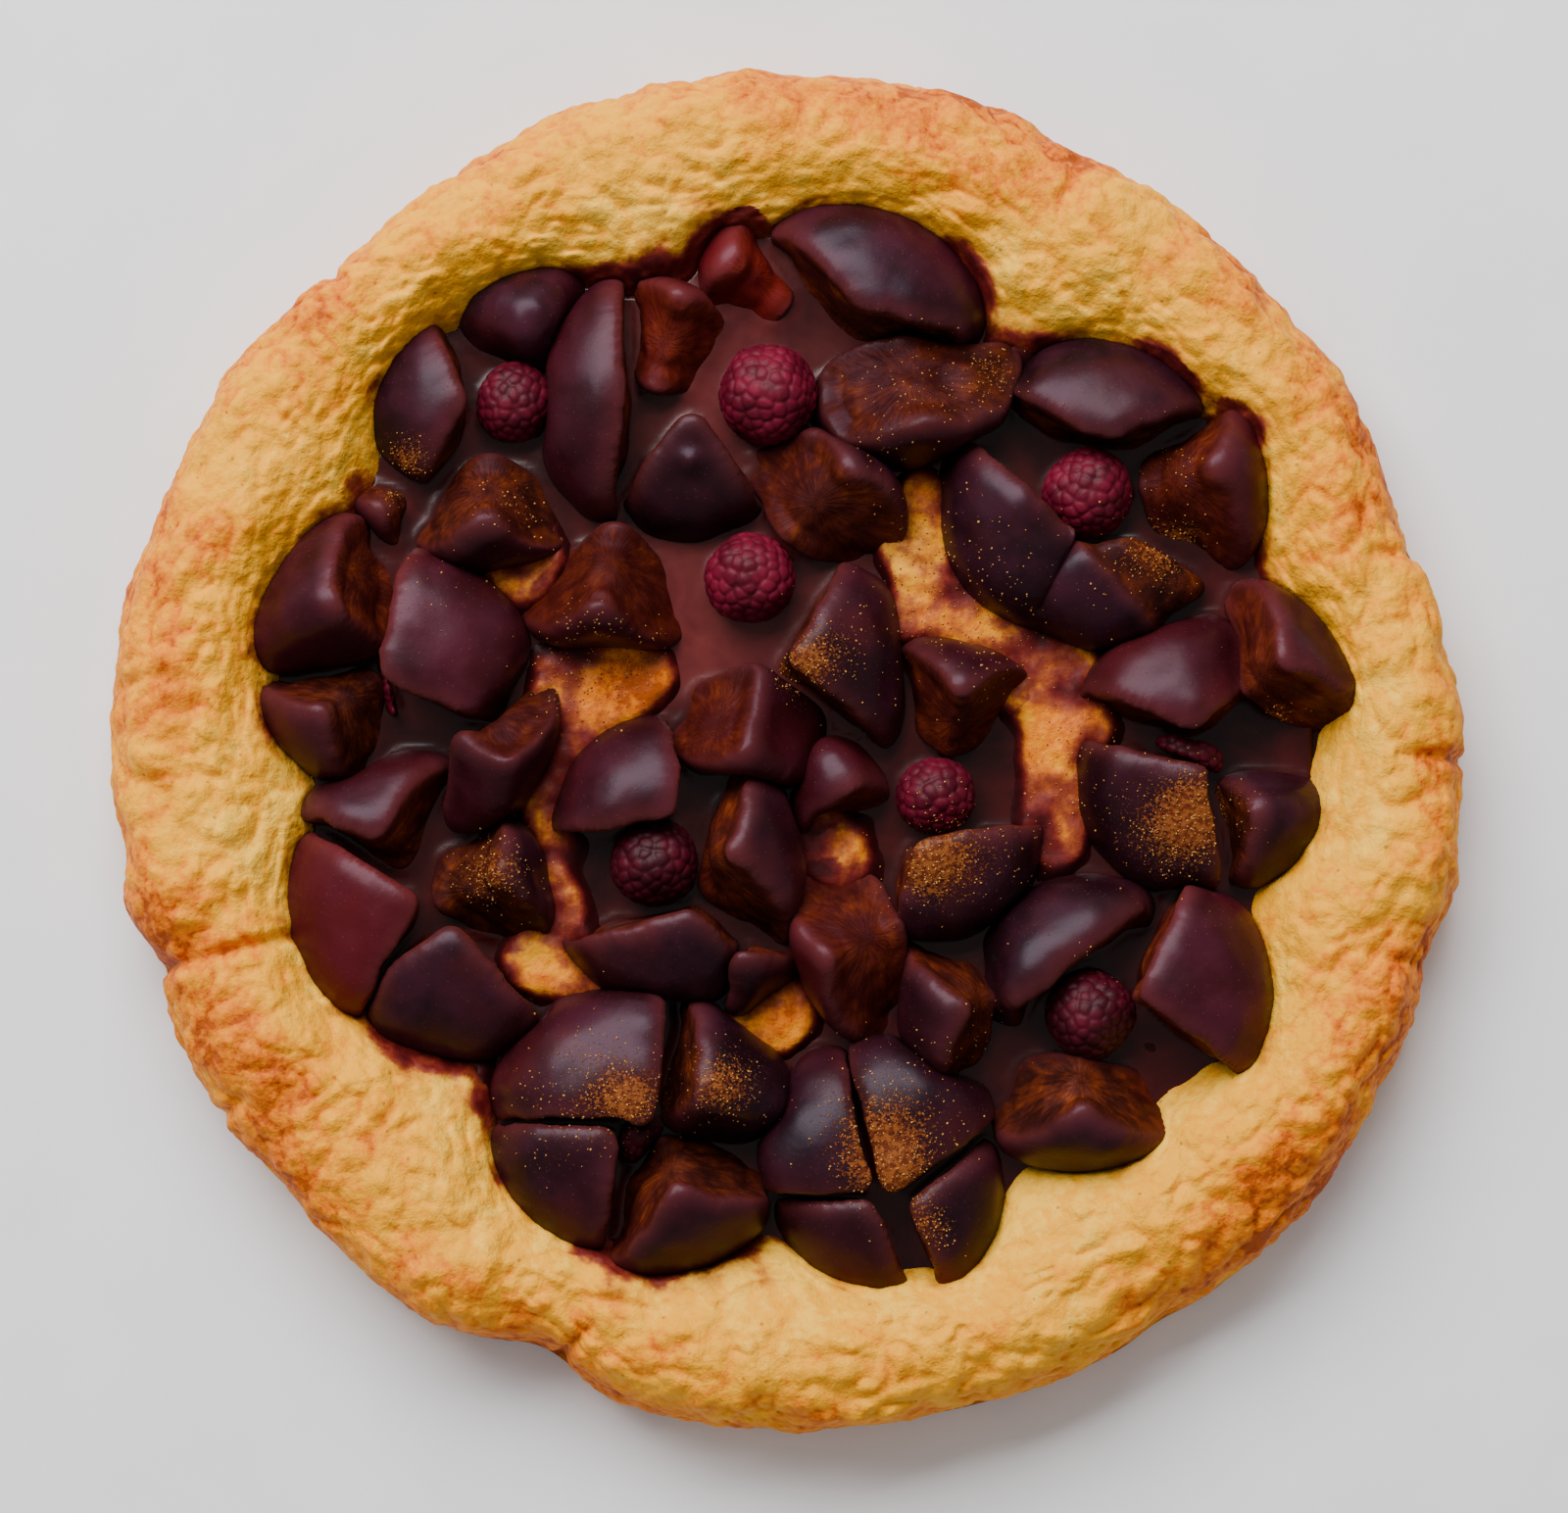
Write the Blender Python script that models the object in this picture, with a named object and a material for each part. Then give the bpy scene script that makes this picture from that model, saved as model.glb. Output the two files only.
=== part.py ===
"""A round plum tart, 26 cm across.

A thick dough crust with a rolled, lumpy rim holds thirteen plum halves. Each half was cut
crosswise into petals, which opened in the oven round a red berry. Every petal and every
berry is its own solid, and the dough has risen round them.

Metres, +Z up. The origin is on the table under the middle of the tart, and +Y is its far side.
"""

import math
from collections import namedtuple

import bmesh
import bpy
import numpy as np
from mathutils import Matrix, Vector, noise
from mathutils.geometry import delaunay_2d_cdt

# Driving dimensions
TART_DIAMETER = 0.260
CRUST_RADIUS = TART_DIAMETER / 2 - 0.0017
RIM_HEIGHT = 0.0275
FLOOR_HEIGHT = 0.008
DOUGH_LEVEL = 0.0135
PLUM_RADIUS = 0.0248
PLUM_HEIGHT = 0.0195
PLUM_ROUNDNESS = 0.8
SUNK_BY_LEAN = 0.42
BERRY_RADIUS = 0.0095
RIM_OVER_FRUIT = 0.007
SOCKET_GAP = 0.0006
GAP = 0.0003

# The places of the fruit are read in a picture of 1600 x 1544 pixels that looks straight down.
# The width is the tart's at the height of the fruit, which is nearer to the eye than its outline.
PICTURE_MIDDLE = Vector((802.0, 758.0))
PICTURE_TART_WIDTH = 1406.0
PIXEL = TART_DIAMETER / PICTURE_TART_WIDTH

# Smoothness of the solids
PLUM_SEGMENTS = 20
PLUM_RINGS = 10
CRUST_SEGMENTS = 120
DOUGH_SPACING = 0.011
SLOPE_RINGS = 6
WALL_RINGS = 5
CRUST_KEPT = 0.5
NOISE_SEED = 7

# x and y: the petal's middle in the picture. outward: the way its skin faces, anticlockwise from
# the right, in degrees. lean: how far it has opened. spread: the angle between its two cuts.
# inset: how far from the plum's middle the cuts meet, in mm.
Petal = namedtuple("Petal", "x y outward lean spread size inset", defaults=(90, 1.0, 0))
Berry = namedtuple("Berry", "x y size yields", defaults=(1.0, False))

PLUMS = {
    "a": [
        Petal(538, 326, 105, 38, 80, 0.75),
        Petal(438, 408, 178, 10, 120, 0.75),
        Petal(400, 517, 225, 46, 80, 0.63),
        Petal(498, 521, 270, 46, 92, 0.88),
    ],
    "b": [
        Petal(596, 402, 178, 6, 170, 1.0, 7),
        Petal(680, 338, 72, 66, 70, 0.9),
        Petal(704, 474, 268, 5, 74, 0.87),
    ],
    "c": [
        Petal(892, 284, 60, 12, 140, 0.97),
        Petal(760, 275, 150, 55, 88, 0.71),
        Petal(925, 402, 282, 62, 135),
    ],
    "d": [
        Petal(1123, 412, 85, 12, 120, 0.92),
        Petal(1034, 534, 195, 6, 105, 1.05),
        Petal(1142, 593, 280, 6, 100),
        Petal(1222, 486, 5, 48, 95, 0.9),
    ],
    "e": [
        Petal(1208, 697, 98, 10, 120, 0.95),
        Petal(1312, 674, 38, 38, 92, 0.97),
        Petal(1178, 828, 222, 8, 114, 0.98),
        Petal(1292, 847, 312, 34, 86, 0.78),
    ],
    "f": [
        Petal(1078, 970, 122, 8, 114, 0.98),
        Petal(1221, 994, 15, 4, 98, 1.08),
        Petal(1100, 1120, 270, 44, 98, 0.95),
        Petal(974, 1032, 195, 32, 92, 0.9),
    ],
    "g": [
        Petal(838, 1145, 143, 0, 73, 0.94, -7),
        Petal(936, 1142, 72, 0, 70, 0.94, -9),
        Petal(857, 1267, 236, 0, 113, 0.94, 7.5),
        Petal(969, 1240, 345, 4, 104, 0.94, 6),
    ],
    "h": [
        Petal(593, 1082, 133, 0, 94, 1.08, -4.5),
        Petal(740, 1092, 40, 30, 86, 0.97),
        Petal(571, 1200, 216, 2, 90),
        Petal(702, 1224, 292, 30, 98),
    ],
    "i": [
        Petal(388, 836, 108, 20, 88, 0.9),
        Petal(366, 950, 200, 0, 100, 1.05),
        Petal(502, 898, 22, 46, 88, 0.9),
        Petal(455, 1010, 262, 0, 98),
    ],
    "j": [
        Petal(332, 611, 146, 34, 92),
        Petal(464, 652, 28, 0, 104, 1.06),
        Petal(330, 727, 218, 40, 88, 0.92),
        Petal(500, 760, 328, 60, 100),
    ],
    "k": [
        Petal(624, 808, 138, 0, 100),
        Petal(758, 870, 14, 32, 104),
        Petal(672, 955, 262, 12, 112),
        Petal(770, 986, 312, 38, 80, 0.8),
    ],
    "l": [
        Petal(620, 597, 262, 52, 78),
        Petal(765, 742, 262, 60, 90),
        Petal(857, 664, 12, 8, 94),
        Petal(843, 505, 45, 58, 98),
    ],
    "m": [
        Petal(980, 716, 80, 38, 76, 0.95),
        Petal(855, 801, 172, 28, 82, 0.76),
        Petal(984, 876, 313, 8, 116),
        Petal(870, 960, 205, 60, 100),
    ],
}

# Two petals that the knife didn't part: their skin runs on from one to the other.
JOINED_PETALS = {"plum_d2": "plum_d3"}

# A berry that yields lies under the petals beside it, and they press it flat there.
BERRIES = {
    "a": Berry(522, 407, 0.85),
    "b": Berry(783, 399, 1.08),
    "d": Berry(1112, 500, 0.98),
    "e": Berry(1212, 772, 0.8, True),
    "f": Berry(1112, 1034, 0.98),
    "h": Berry(655, 1152, 0.8, True),
    "j": Berry(400, 692, 0.85, True),
    "k": Berry(668, 880, 0.95),
    "l": Berry(765, 588, 0.98),
    "m": Berry(955, 812, 0.85),
}

# The crust's outline bulges at the swells and draws in at the folds, where the rolled dough was
# pinched. Both are (place round the rim in degrees, size in mm, width in degrees).
RIM_SWELLS = (
    (-95, 1.2, 12),
    (-50, 4.2, 34),
    (0, 1.0, 12),
    (90, 1.5, 25),
    (165, 1.2, 22),
)
RIM_FOLDS = (
    (8, 1.2, 3),
    (20, 2.6, 6),
    (37, 1.4, 10),
    (64, 1.5, 4),
    (118, 1.6, 4),
    (134, 2.0, 9),
    (-172, 1.0, 3),
    (-161, 1.8, 3),
    (-137, 1.0, 3),
    (-112, 4.6, 5),
    (-57, 1.2, 3),
    (-18, 1.8, 3),
)

MATERIALS = {
    "dough": ((0.79, 0.53, 0.20), 0.75),
    "plum": ((0.10, 0.035, 0.045), 0.35),
    "berry": ((0.28, 0.03, 0.06), 0.5),
}


def clear_scene():
    for obj in list(bpy.data.objects):
        bpy.data.objects.remove(obj)


def make_material(name):
    """One Principled material for each kind of piece."""
    colour, roughness = MATERIALS[name]
    material = bpy.data.materials.new(name)
    material.use_nodes = True
    shader = material.node_tree.nodes["Principled BSDF"]
    shader.inputs["Base Color"].default_value = (*colour, 1)
    shader.inputs["Roughness"].default_value = roughness
    shader.inputs["Metallic"].default_value = 0
    material.diffuse_color = (*colour, 1)
    return material


def on_tart(x, y):
    """A pixel of the picture as a place on the tart."""
    return Vector((x - PICTURE_MIDDLE.x, PICTURE_MIDDLE.y - y, 0)) * PIXEL


def direction(degrees):
    """A level unit vector, anticlockwise from +X."""
    return Vector((math.cos(math.radians(degrees)), math.sin(math.radians(degrees)), 0))


def cut_away(mesh, point, normal):
    """Cuts a closed mesh by a plane, drops what lies on the normal's side and closes the cut."""
    everything = mesh.verts[:] + mesh.edges[:] + mesh.faces[:]
    cut = bmesh.ops.bisect_plane(
        mesh, geom=everything, plane_co=point, plane_no=normal, clear_outer=True, dist=1e-6
    )
    rim = [piece for piece in cut["geom_cut"] if isinstance(piece, bmesh.types.BMEdge)]
    if rim:
        bmesh.ops.holes_fill(mesh, edges=rim, sides=0)


def plum_half(size):
    """Half a plum, lying on its cut face. Its sides stand steeper than a ball's."""
    mesh = bmesh.new()
    bmesh.ops.create_uvsphere(mesh, u_segments=PLUM_SEGMENTS, v_segments=PLUM_RINGS, radius=1)
    cut_away(mesh, Vector(), Vector((0, 0, -1)))
    for vert in mesh.verts:
        level = vert.co.xy.length
        if level > 0:
            vert.co.xy *= level ** (PLUM_ROUNDNESS - 1)
        vert.co.z = max(vert.co.z, 0) ** PLUM_ROUNDNESS
    bmesh.ops.scale(mesh, verts=mesh.verts, vec=(PLUM_RADIUS * size, PLUM_RADIUS * size, PLUM_HEIGHT * size))
    return mesh


def petal(place):
    """One petal of a plum half: cut on both sides, opened outwards, and set on the floor."""
    mesh = plum_half(place.size)
    for side in (-1, 1):
        edge = place.outward + side * place.spread / 2
        cut_away(mesh, direction(place.outward) * place.inset / 1000, direction(edge + side * 90))
    across = direction(place.outward + 90)
    turn = Matrix.Rotation(math.radians(place.lean), 4, across)
    bmesh.ops.transform(mesh, matrix=turn, verts=mesh.verts)
    low, high = corners(mesh)
    sunk = SUNK_BY_LEAN * PLUM_HEIGHT * math.sin(math.radians(place.lean))
    target = on_tart(place.x, place.y)
    middle = (low + high) / 2
    shift = Vector((target.x - middle.x, target.y - middle.y, FLOOR_HEIGHT + GAP - low.z - sunk))
    bmesh.ops.translate(mesh, vec=shift, verts=mesh.verts)
    cut_away(mesh, Vector((0, 0, FLOOR_HEIGHT + GAP)), Vector((0, 0, -1)))
    return mesh


def berry(place):
    """A berry as a ball of drupelets: the corners of a coarse ball stand out, the rest lie back."""
    radius = BERRY_RADIUS * place.size
    mesh = bmesh.new()
    bmesh.ops.create_icosphere(mesh, subdivisions=2, radius=radius)
    tips = set(mesh.verts)
    bmesh.ops.subdivide_edges(mesh, edges=mesh.edges[:], cuts=1, use_grid_fill=True)
    for vert in mesh.verts:
        reach = 1.0 if vert in tips else 0.93
        vert.co = vert.co.normalized() * radius * reach
    low, high = corners(mesh)
    lift = Vector((0, 0, FLOOR_HEIGHT + GAP - low.z))
    bmesh.ops.translate(mesh, vec=on_tart(place.x, place.y) + lift, verts=mesh.verts)
    return mesh


def corners(mesh):
    """The lowest and highest corner of a mesh."""
    points = np.array([vert.co for vert in mesh.verts])
    return Vector(points.min(0)), Vector(points.max(0))


def many_directions(count):
    """Unit vectors spread evenly round a sphere, leaving out the steep ones."""
    turn = math.pi * (3 - math.sqrt(5))
    steepest = 0.8
    heights = np.linspace(-steepest, steepest, count)
    level = np.sqrt(1 - heights**2)
    angles = turn * np.arange(count)
    return np.column_stack([level * np.cos(angles), level * np.sin(angles), heights])


def part_neighbours(first, second, share, directions):
    """Where two pieces run into each other, both lose what lies past one plane between them.

    The plane is the one that takes least away. share is the first piece's part of the loss.
    """
    a = np.array([vert.co for vert in first.verts])
    b = np.array([vert.co for vert in second.verts])
    a_ends = (a @ directions.T).max(0)
    b_starts = (b @ directions.T).min(0)
    best = int(np.argmin(a_ends - b_starts))
    depth = a_ends[best] - b_starts[best]
    if depth < -GAP:
        return
    normal = Vector(directions[best])
    middle = a_ends[best] - depth * share
    cut_away(first, normal * (middle - GAP / 2), normal)
    cut_away(second, normal * (middle + GAP / 2), -normal)


def press_together(pieces):
    """Flattens every pair of fruit pieces that touch against each other."""
    directions = many_directions(240)
    names = list(pieces)
    for i, first in enumerate(names):
        for second in names[i + 1 :]:
            if JOINED_PETALS.get(first) == second:
                continue
            part_neighbours(pieces[first], pieces[second], loss_share(first, second), directions)


def loss_share(first, second):
    """A firm berry keeps its shape, and one that yields takes the whole loss."""
    if second.startswith("berry") and not first.startswith("berry"):
        return 0.0 if BERRIES[second[-1]].yields else 1.0
    return 0.5


def tidy_petal(mesh):
    """A petal has only flat cuts and a round skin, so its skin is the hull of its corners."""
    bmesh.ops.remove_doubles(mesh, verts=mesh.verts, dist=0.0002)
    corner_points = [vert.co.copy() for vert in mesh.verts]
    mesh.clear()
    for point in corner_points:
        mesh.verts.new(point)
    hull = bmesh.ops.convex_hull(mesh, input=mesh.verts)
    inside = {piece for piece in hull["geom_interior"] if isinstance(piece, bmesh.types.BMVert)}
    bmesh.ops.delete(mesh, geom=list(inside), context="VERTS")


def add_object(name, mesh, material):
    """Makes the named object of a finished mesh."""
    bmesh.ops.triangulate(mesh, faces=mesh.faces[:])
    bmesh.ops.recalc_face_normals(mesh, faces=mesh.faces[:])
    data = bpy.data.meshes.new(name)
    mesh.to_mesh(data)
    mesh.free()
    data.shade_smooth()
    data.set_sharp_from_angle(angle=math.radians(40))
    data.materials.append(material)
    obj = bpy.data.objects.new(name, data)
    bpy.context.scene.collection.objects.link(obj)
    return obj


def bell(angle, place, width):
    """1 at a place on the rim, falling to 0 a few widths away. All in degrees."""
    away = (angle - place + 180) % 360 - 180
    return math.exp(-((away / width) ** 2))


def outer_radius(angle):
    """The crust's outline, with its slow swells and pinched folds."""
    radius = CRUST_RADIUS
    for place, size, width in RIM_SWELLS:
        radius += size / 1000 * bell(angle, place, width)
    for place, size, width in RIM_FOLDS:
        radius -= size / 1000 * bell(angle, place, width)
    return radius


def rim_top(angle):
    """The height of the rim's crest: it sinks a little at each fold."""
    sunk = sum(0.5 * size / 1000 * bell(angle, place, width * 1.4) for place, size, width in RIM_FOLDS)
    swell = 0.0018 * noise.noise(direction(angle) * 2.2 + Vector((0, 0, NOISE_SEED)))
    return RIM_HEIGHT - sunk + swell


def fruit_reach(pieces):
    """How far out the fruit reaches at each step round the tart, as a list of radii."""
    reach = np.zeros(CRUST_SEGMENTS)
    for mesh in pieces.values():
        for vert in mesh.verts:
            turn = round(math.atan2(vert.co.y, vert.co.x) / math.tau * CRUST_SEGMENTS)
            for nearby in range(-2, 3):
                index = (turn + nearby) % CRUST_SEGMENTS
                reach[index] = max(reach[index], vert.co.xy.length)
    return np.mean([np.roll(reach, shift) for shift in range(-2, 3)], axis=0)


def rim_point(ring, angle, inner):
    """The distance from the middle and the height of a ring of the rim, before its lumps."""
    outer, top = outer_radius(angle), rim_top(angle)
    crest = outer - 0.46 * (outer - inner)
    if ring <= SLOPE_RINGS:
        share = (ring / SLOPE_RINGS) ** 1.1
        rise = 1 - (1 - share) ** 2.2
        return inner + (crest - inner) * share, DOUGH_LEVEL + (top - DOUGH_LEVEL) * rise
    down = (ring - SLOPE_RINGS) / WALL_RINGS * math.pi / 2
    return crest + (outer - crest) * math.sin(down) ** 0.85, top * max(math.cos(down), 0.0) ** 0.62


def raise_lump(spot):
    """Moves a spot of the dough by its lump: broad swells with smaller ones on them."""
    broad = noise.noise(spot * 38 + Vector((NOISE_SEED, 0, 0)))
    small = noise.noise(spot * 95 + Vector((0, NOISE_SEED, 0)))
    lump = 0.0016 * broad + 0.0011 * small
    outward = min(spot.xy.length / TART_DIAMETER * 2, 1) ** 4
    return spot + Vector((*(spot.xy.normalized() * outward), 1)) * lump


def dough_spots(ring):
    """Evenly spread places inside a ring of places, leaving a margin along it."""
    spots = []
    row_height = DOUGH_SPACING * math.sqrt(3) / 2
    rows = int(TART_DIAMETER / 2 / row_height)
    columns = int(TART_DIAMETER / 2 / DOUGH_SPACING)
    for row in range(-rows, rows + 1):
        for column in range(-columns, columns + 1):
            spot = Vector(((column + 0.5 * (row % 2)) * DOUGH_SPACING, row * row_height))
            turn = round(math.atan2(spot.y, spot.x) / math.tau * CRUST_SEGMENTS) % CRUST_SEGMENTS
            if spot.length < ring[turn].length - 0.6 * DOUGH_SPACING:
                spots.append(spot)
    return spots


def dough(pieces):
    """The uncut dough: a lumpy middle, and a rim of rings round it, closed by a flat foot."""
    mesh = bmesh.new()
    reach = fruit_reach(pieces)
    rings = []
    for ring in range(SLOPE_RINGS + WALL_RINGS + 1):
        spots = []
        for segment in range(CRUST_SEGMENTS):
            angle = 360 / CRUST_SEGMENTS * segment
            radius, height = rim_point(ring, angle, reach[segment] - RIM_OVER_FRUIT)
            spots.append(direction(angle) * radius + Vector((0, 0, height)))
        rings.append(spots)
    edge = [spot.xy for spot in rings[0]]
    loop = list(range(CRUST_SEGMENTS))
    flat, _, triangles, *_ = delaunay_2d_cdt(edge + dough_spots(edge), [], [loop], 1, 1e-6)
    middle = [mesh.verts.new(raise_lump(Vector((*spot, DOUGH_LEVEL)))) for spot in flat]
    for triangle in triangles:
        mesh.faces.new([middle[index] for index in triangle])
    previous = middle[:CRUST_SEGMENTS]
    for ring in rings[1:]:
        spots = ring if ring is rings[-1] else [raise_lump(spot) for spot in ring]
        current = [mesh.verts.new(spot) for spot in spots]
        for i in range(CRUST_SEGMENTS):
            mesh.faces.new([previous[i - 1], current[i - 1], current[i], previous[i]])
        previous = current
    mesh.faces.new(list(reversed(previous)))
    return mesh


def sockets(pieces):
    """The room that the fruit takes in the dough: every piece, a gap wider on all sides."""
    joined = bmesh.new()
    for name, mesh in pieces.items():
        room = bpy.data.meshes.new(f"{name} socket")
        mesh.normal_update()
        wider = mesh.copy()
        for vert, original in zip(wider.verts, mesh.verts):
            vert.co += original.normal * SOCKET_GAP * original.calc_shell_factor()
        wider.to_mesh(room)
        wider.free()
        joined.from_mesh(room)
    return joined


def press_into(crust, room):
    """The fruit's sockets are cut out of the dough."""
    cut = crust.modifiers.new("Fruit", "BOOLEAN")
    cut.operation = "DIFFERENCE"
    cut.solver = "EXACT"
    cut.use_self = True
    cut.object = room
    room.hide_render = True
    room.display_type = "WIRE"
    fewer = crust.modifiers.new("Fewer triangles", "DECIMATE")
    fewer.ratio = CRUST_KEPT


def join_petals(keeper, joined):
    """Two petals that the knife didn't part become one solid."""
    union = keeper.modifiers.new("Skin runs on", "BOOLEAN")
    union.operation = "UNION"
    union.solver = "EXACT"
    union.object = joined
    joined.hide_render = True
    joined.display_type = "WIRE"


def centre_on_origin(objects):
    """Moves the tart so that the origin is under the middle of its outline."""
    points = np.array([vert.co for obj in objects for vert in obj.data.vertices])
    middle = (points.min(0) + points.max(0)) / 2
    for obj in objects:
        obj.data.transform(Matrix.Translation((-middle[0], -middle[1], 0)))


def main():
    clear_scene()
    pieces = {}
    for letter, petals in PLUMS.items():
        for number, place in enumerate(petals, start=1):
            pieces[f"plum_{letter}{number}"] = petal(place)
    for letter, place in BERRIES.items():
        pieces[f"berry_{letter}"] = berry(place)
    press_together(pieces)
    for name, mesh in pieces.items():
        if name.startswith("plum"):
            tidy_petal(mesh)
    pastry, plum, red = (make_material(name) for name in ("dough", "plum", "berry"))
    objects = {"crust": add_object("crust", dough(pieces), pastry)}
    objects["sockets"] = add_object("sockets", sockets(pieces), pastry)
    press_into(objects["crust"], objects["sockets"])
    for name, mesh in pieces.items():
        objects[name] = add_object(name, mesh, plum if name.startswith("plum") else red)
    for keeper, joined in JOINED_PETALS.items():
        join_petals(objects[keeper], objects[joined])
    centre_on_origin(objects.values())


main()
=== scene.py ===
# %% [markdown]
# # A plum tart
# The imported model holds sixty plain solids: a crust, forty-nine pieces of plum and ten berries.
# This lesson dresses them. Each solid is copied, turned into a fine even mesh, softened, and then
# shaped with noise and colour. The crust is a flat grid bent round, the juice is poured between
# the pieces, and the cinnamon falls on top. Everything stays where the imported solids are.

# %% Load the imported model
import math

import bmesh
import bpy
import numpy as np
from mathutils import Matrix, Quaternion, Vector, noise
from mathutils.bvhtree import BVHTree
from mathutils.kdtree import KDTree


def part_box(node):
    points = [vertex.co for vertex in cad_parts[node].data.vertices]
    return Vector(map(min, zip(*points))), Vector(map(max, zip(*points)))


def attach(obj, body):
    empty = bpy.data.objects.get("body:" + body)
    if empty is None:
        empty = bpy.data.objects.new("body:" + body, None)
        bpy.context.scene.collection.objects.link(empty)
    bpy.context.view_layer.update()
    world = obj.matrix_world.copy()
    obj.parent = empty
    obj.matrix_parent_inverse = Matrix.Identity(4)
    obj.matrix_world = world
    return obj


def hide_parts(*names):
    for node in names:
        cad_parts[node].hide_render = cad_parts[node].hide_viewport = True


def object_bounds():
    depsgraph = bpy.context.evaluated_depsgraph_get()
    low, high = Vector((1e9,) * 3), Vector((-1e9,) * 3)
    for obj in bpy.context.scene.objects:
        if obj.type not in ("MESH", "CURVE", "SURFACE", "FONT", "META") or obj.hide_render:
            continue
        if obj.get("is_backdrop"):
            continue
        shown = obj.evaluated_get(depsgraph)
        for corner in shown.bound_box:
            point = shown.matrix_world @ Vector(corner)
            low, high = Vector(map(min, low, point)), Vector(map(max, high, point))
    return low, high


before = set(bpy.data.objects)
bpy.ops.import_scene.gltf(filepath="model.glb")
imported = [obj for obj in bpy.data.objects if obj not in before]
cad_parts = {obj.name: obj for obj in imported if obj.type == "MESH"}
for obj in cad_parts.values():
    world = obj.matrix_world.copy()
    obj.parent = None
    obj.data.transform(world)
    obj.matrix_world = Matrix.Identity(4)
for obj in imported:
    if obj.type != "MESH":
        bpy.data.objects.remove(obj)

box_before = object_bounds()
print("nodes:", len(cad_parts), "box:", [round(v * 1000, 1) for v in (*box_before[0], *box_before[1])])

# %% [markdown]
# ## Places
# The fruit was placed from a picture that looks straight down, 1600 pixels wide. The same rule
# turns a spot in that picture into a place on the tart, so browned patches, juice and cinnamon
# can be put where they are on the real one. A list of spots holds the pixel's x and y, a radius in
# pixels and a strength. Lengths are in metres, unless a name or a comment says mm.

# %% From the picture to the tart
MM = 0.001
PICTURE_WIDTH = 1600
PIXEL = 0.260 / 1406
PICTURE_MIDDLE = (802.0, 758.0)
TART_SHIFT = Vector((-0.365, 0.281)) * MM


def on_tart(x, y):
    """A pixel of the picture as a place on the tart."""
    return Vector(((x - PICTURE_MIDDLE[0]) * PIXEL, (PICTURE_MIDDLE[1] - y) * PIXEL)) + TART_SHIFT


def smooth_step(low, high, value):
    """0 below low, 1 above high and an S-shaped passage between them. Works on whole arrays."""
    share = np.clip((value - low) / (high - low), 0, 1)
    return share * share * (3 - 2 * share)


def spot_sum(places, points):
    """How strongly a list of (x, y, radius in pixels, strength) spots covers each point."""
    cover = np.zeros(len(points))
    for x, y, radius, strength in places:
        away = np.linalg.norm(points[:, :2] - np.array(on_tart(x, y)), axis=1) / (radius * PIXEL)
        cover += strength * np.exp(-(away**2))
    return cover


def noise_at(points, scale, shift=0.0):
    """Blender's noise at every point, between about -1 and 1."""
    moved = points * scale + shift
    return np.array([noise.noise(Vector(point)) for point in moved])


# %% [markdown]
# ## Helpers for finishes
# A finish in Blender is a small graph of nodes. Short helpers keep the graphs readable: one turns
# the 0-255 colours of a paint program into the linear values that Blender mixes, and the others
# add a node, a mix or a sum. Patterns read Object coordinates, which are in metres here,
# so a texture scale of 100 gives details of about a centimetre.

# %% Node helpers
def colour(red, green, blue):
    """A paint program's colour as linear values."""
    parts = [part / 255 for part in (red, green, blue)]
    return (*[p / 12.92 if p <= 0.04045 else ((p + 0.055) / 1.055) ** 2.4 for p in parts], 1.0)


def plug(tree, value, socket):
    """Feeds a socket from another node, or sets it to a plain value."""
    if isinstance(value, bpy.types.NodeSocket):
        tree.links.new(value, socket)
    else:
        socket.default_value = value


def new_finish(name):
    """A material with its node tree and its Principled shader."""
    finish = bpy.data.materials.new(name)
    finish.use_nodes = True
    return finish, finish.node_tree, finish.node_tree.nodes["Principled BSDF"]


def attribute(tree, name, kind="Fac"):
    """What a point of the mesh carries under a name."""
    node = tree.nodes.new("ShaderNodeAttribute")
    node.attribute_name = name
    return node.outputs[kind]


def object_place(tree):
    """Where a point is on its piece, in metres."""
    return tree.nodes.new("ShaderNodeTexCoord").outputs["Object"]


def speckle(tree, where, scale, detail=2.0, roughness=0.5, distortion=0.0):
    """A noise texture's grey value."""
    node = tree.nodes.new("ShaderNodeTexNoise")
    plug(tree, where, node.inputs["Vector"])
    settings = {"Scale": scale, "Detail": detail, "Roughness": roughness, "Distortion": distortion}
    for name, value in settings.items():
        node.inputs[name].default_value = value
    return node.outputs["Fac"]


def dots(tree, where, scale):
    """The distance to the nearest of many scattered points."""
    node = tree.nodes.new("ShaderNodeTexVoronoi")
    plug(tree, where, node.inputs["Vector"])
    node.inputs["Scale"].default_value = scale
    return node.outputs["Distance"]


def work_out(tree, operation, first, second=0.0):
    """One sum of two values."""
    node = tree.nodes.new("ShaderNodeMath")
    node.operation = operation
    plug(tree, first, node.inputs[0])
    plug(tree, second, node.inputs[1])
    return node.outputs[0]


def part_of(tree, value, share):
    """A share of a value."""
    return work_out(tree, "MULTIPLY", value, share)


def plus(tree, base, value, share):
    """A base plus a share of another value."""
    return work_out(tree, "ADD", base, part_of(tree, value, share))


def without(tree, value, share=1.0):
    """1 less a share of a value."""
    return work_out(tree, "SUBTRACT", 1.0, part_of(tree, value, share))


def centred(tree, value):
    """A grey value moved to lie round 0."""
    return work_out(tree, "SUBTRACT", value, 0.5)


def between(tree, value, low, high):
    """0 below low, 1 above high."""
    node = tree.nodes.new("ShaderNodeMapRange")
    node.interpolation_type = "SMOOTHSTEP"
    plug(tree, value, node.inputs["Value"])
    node.inputs["From Min"].default_value = low
    node.inputs["From Max"].default_value = high
    return node.outputs["Result"]


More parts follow.
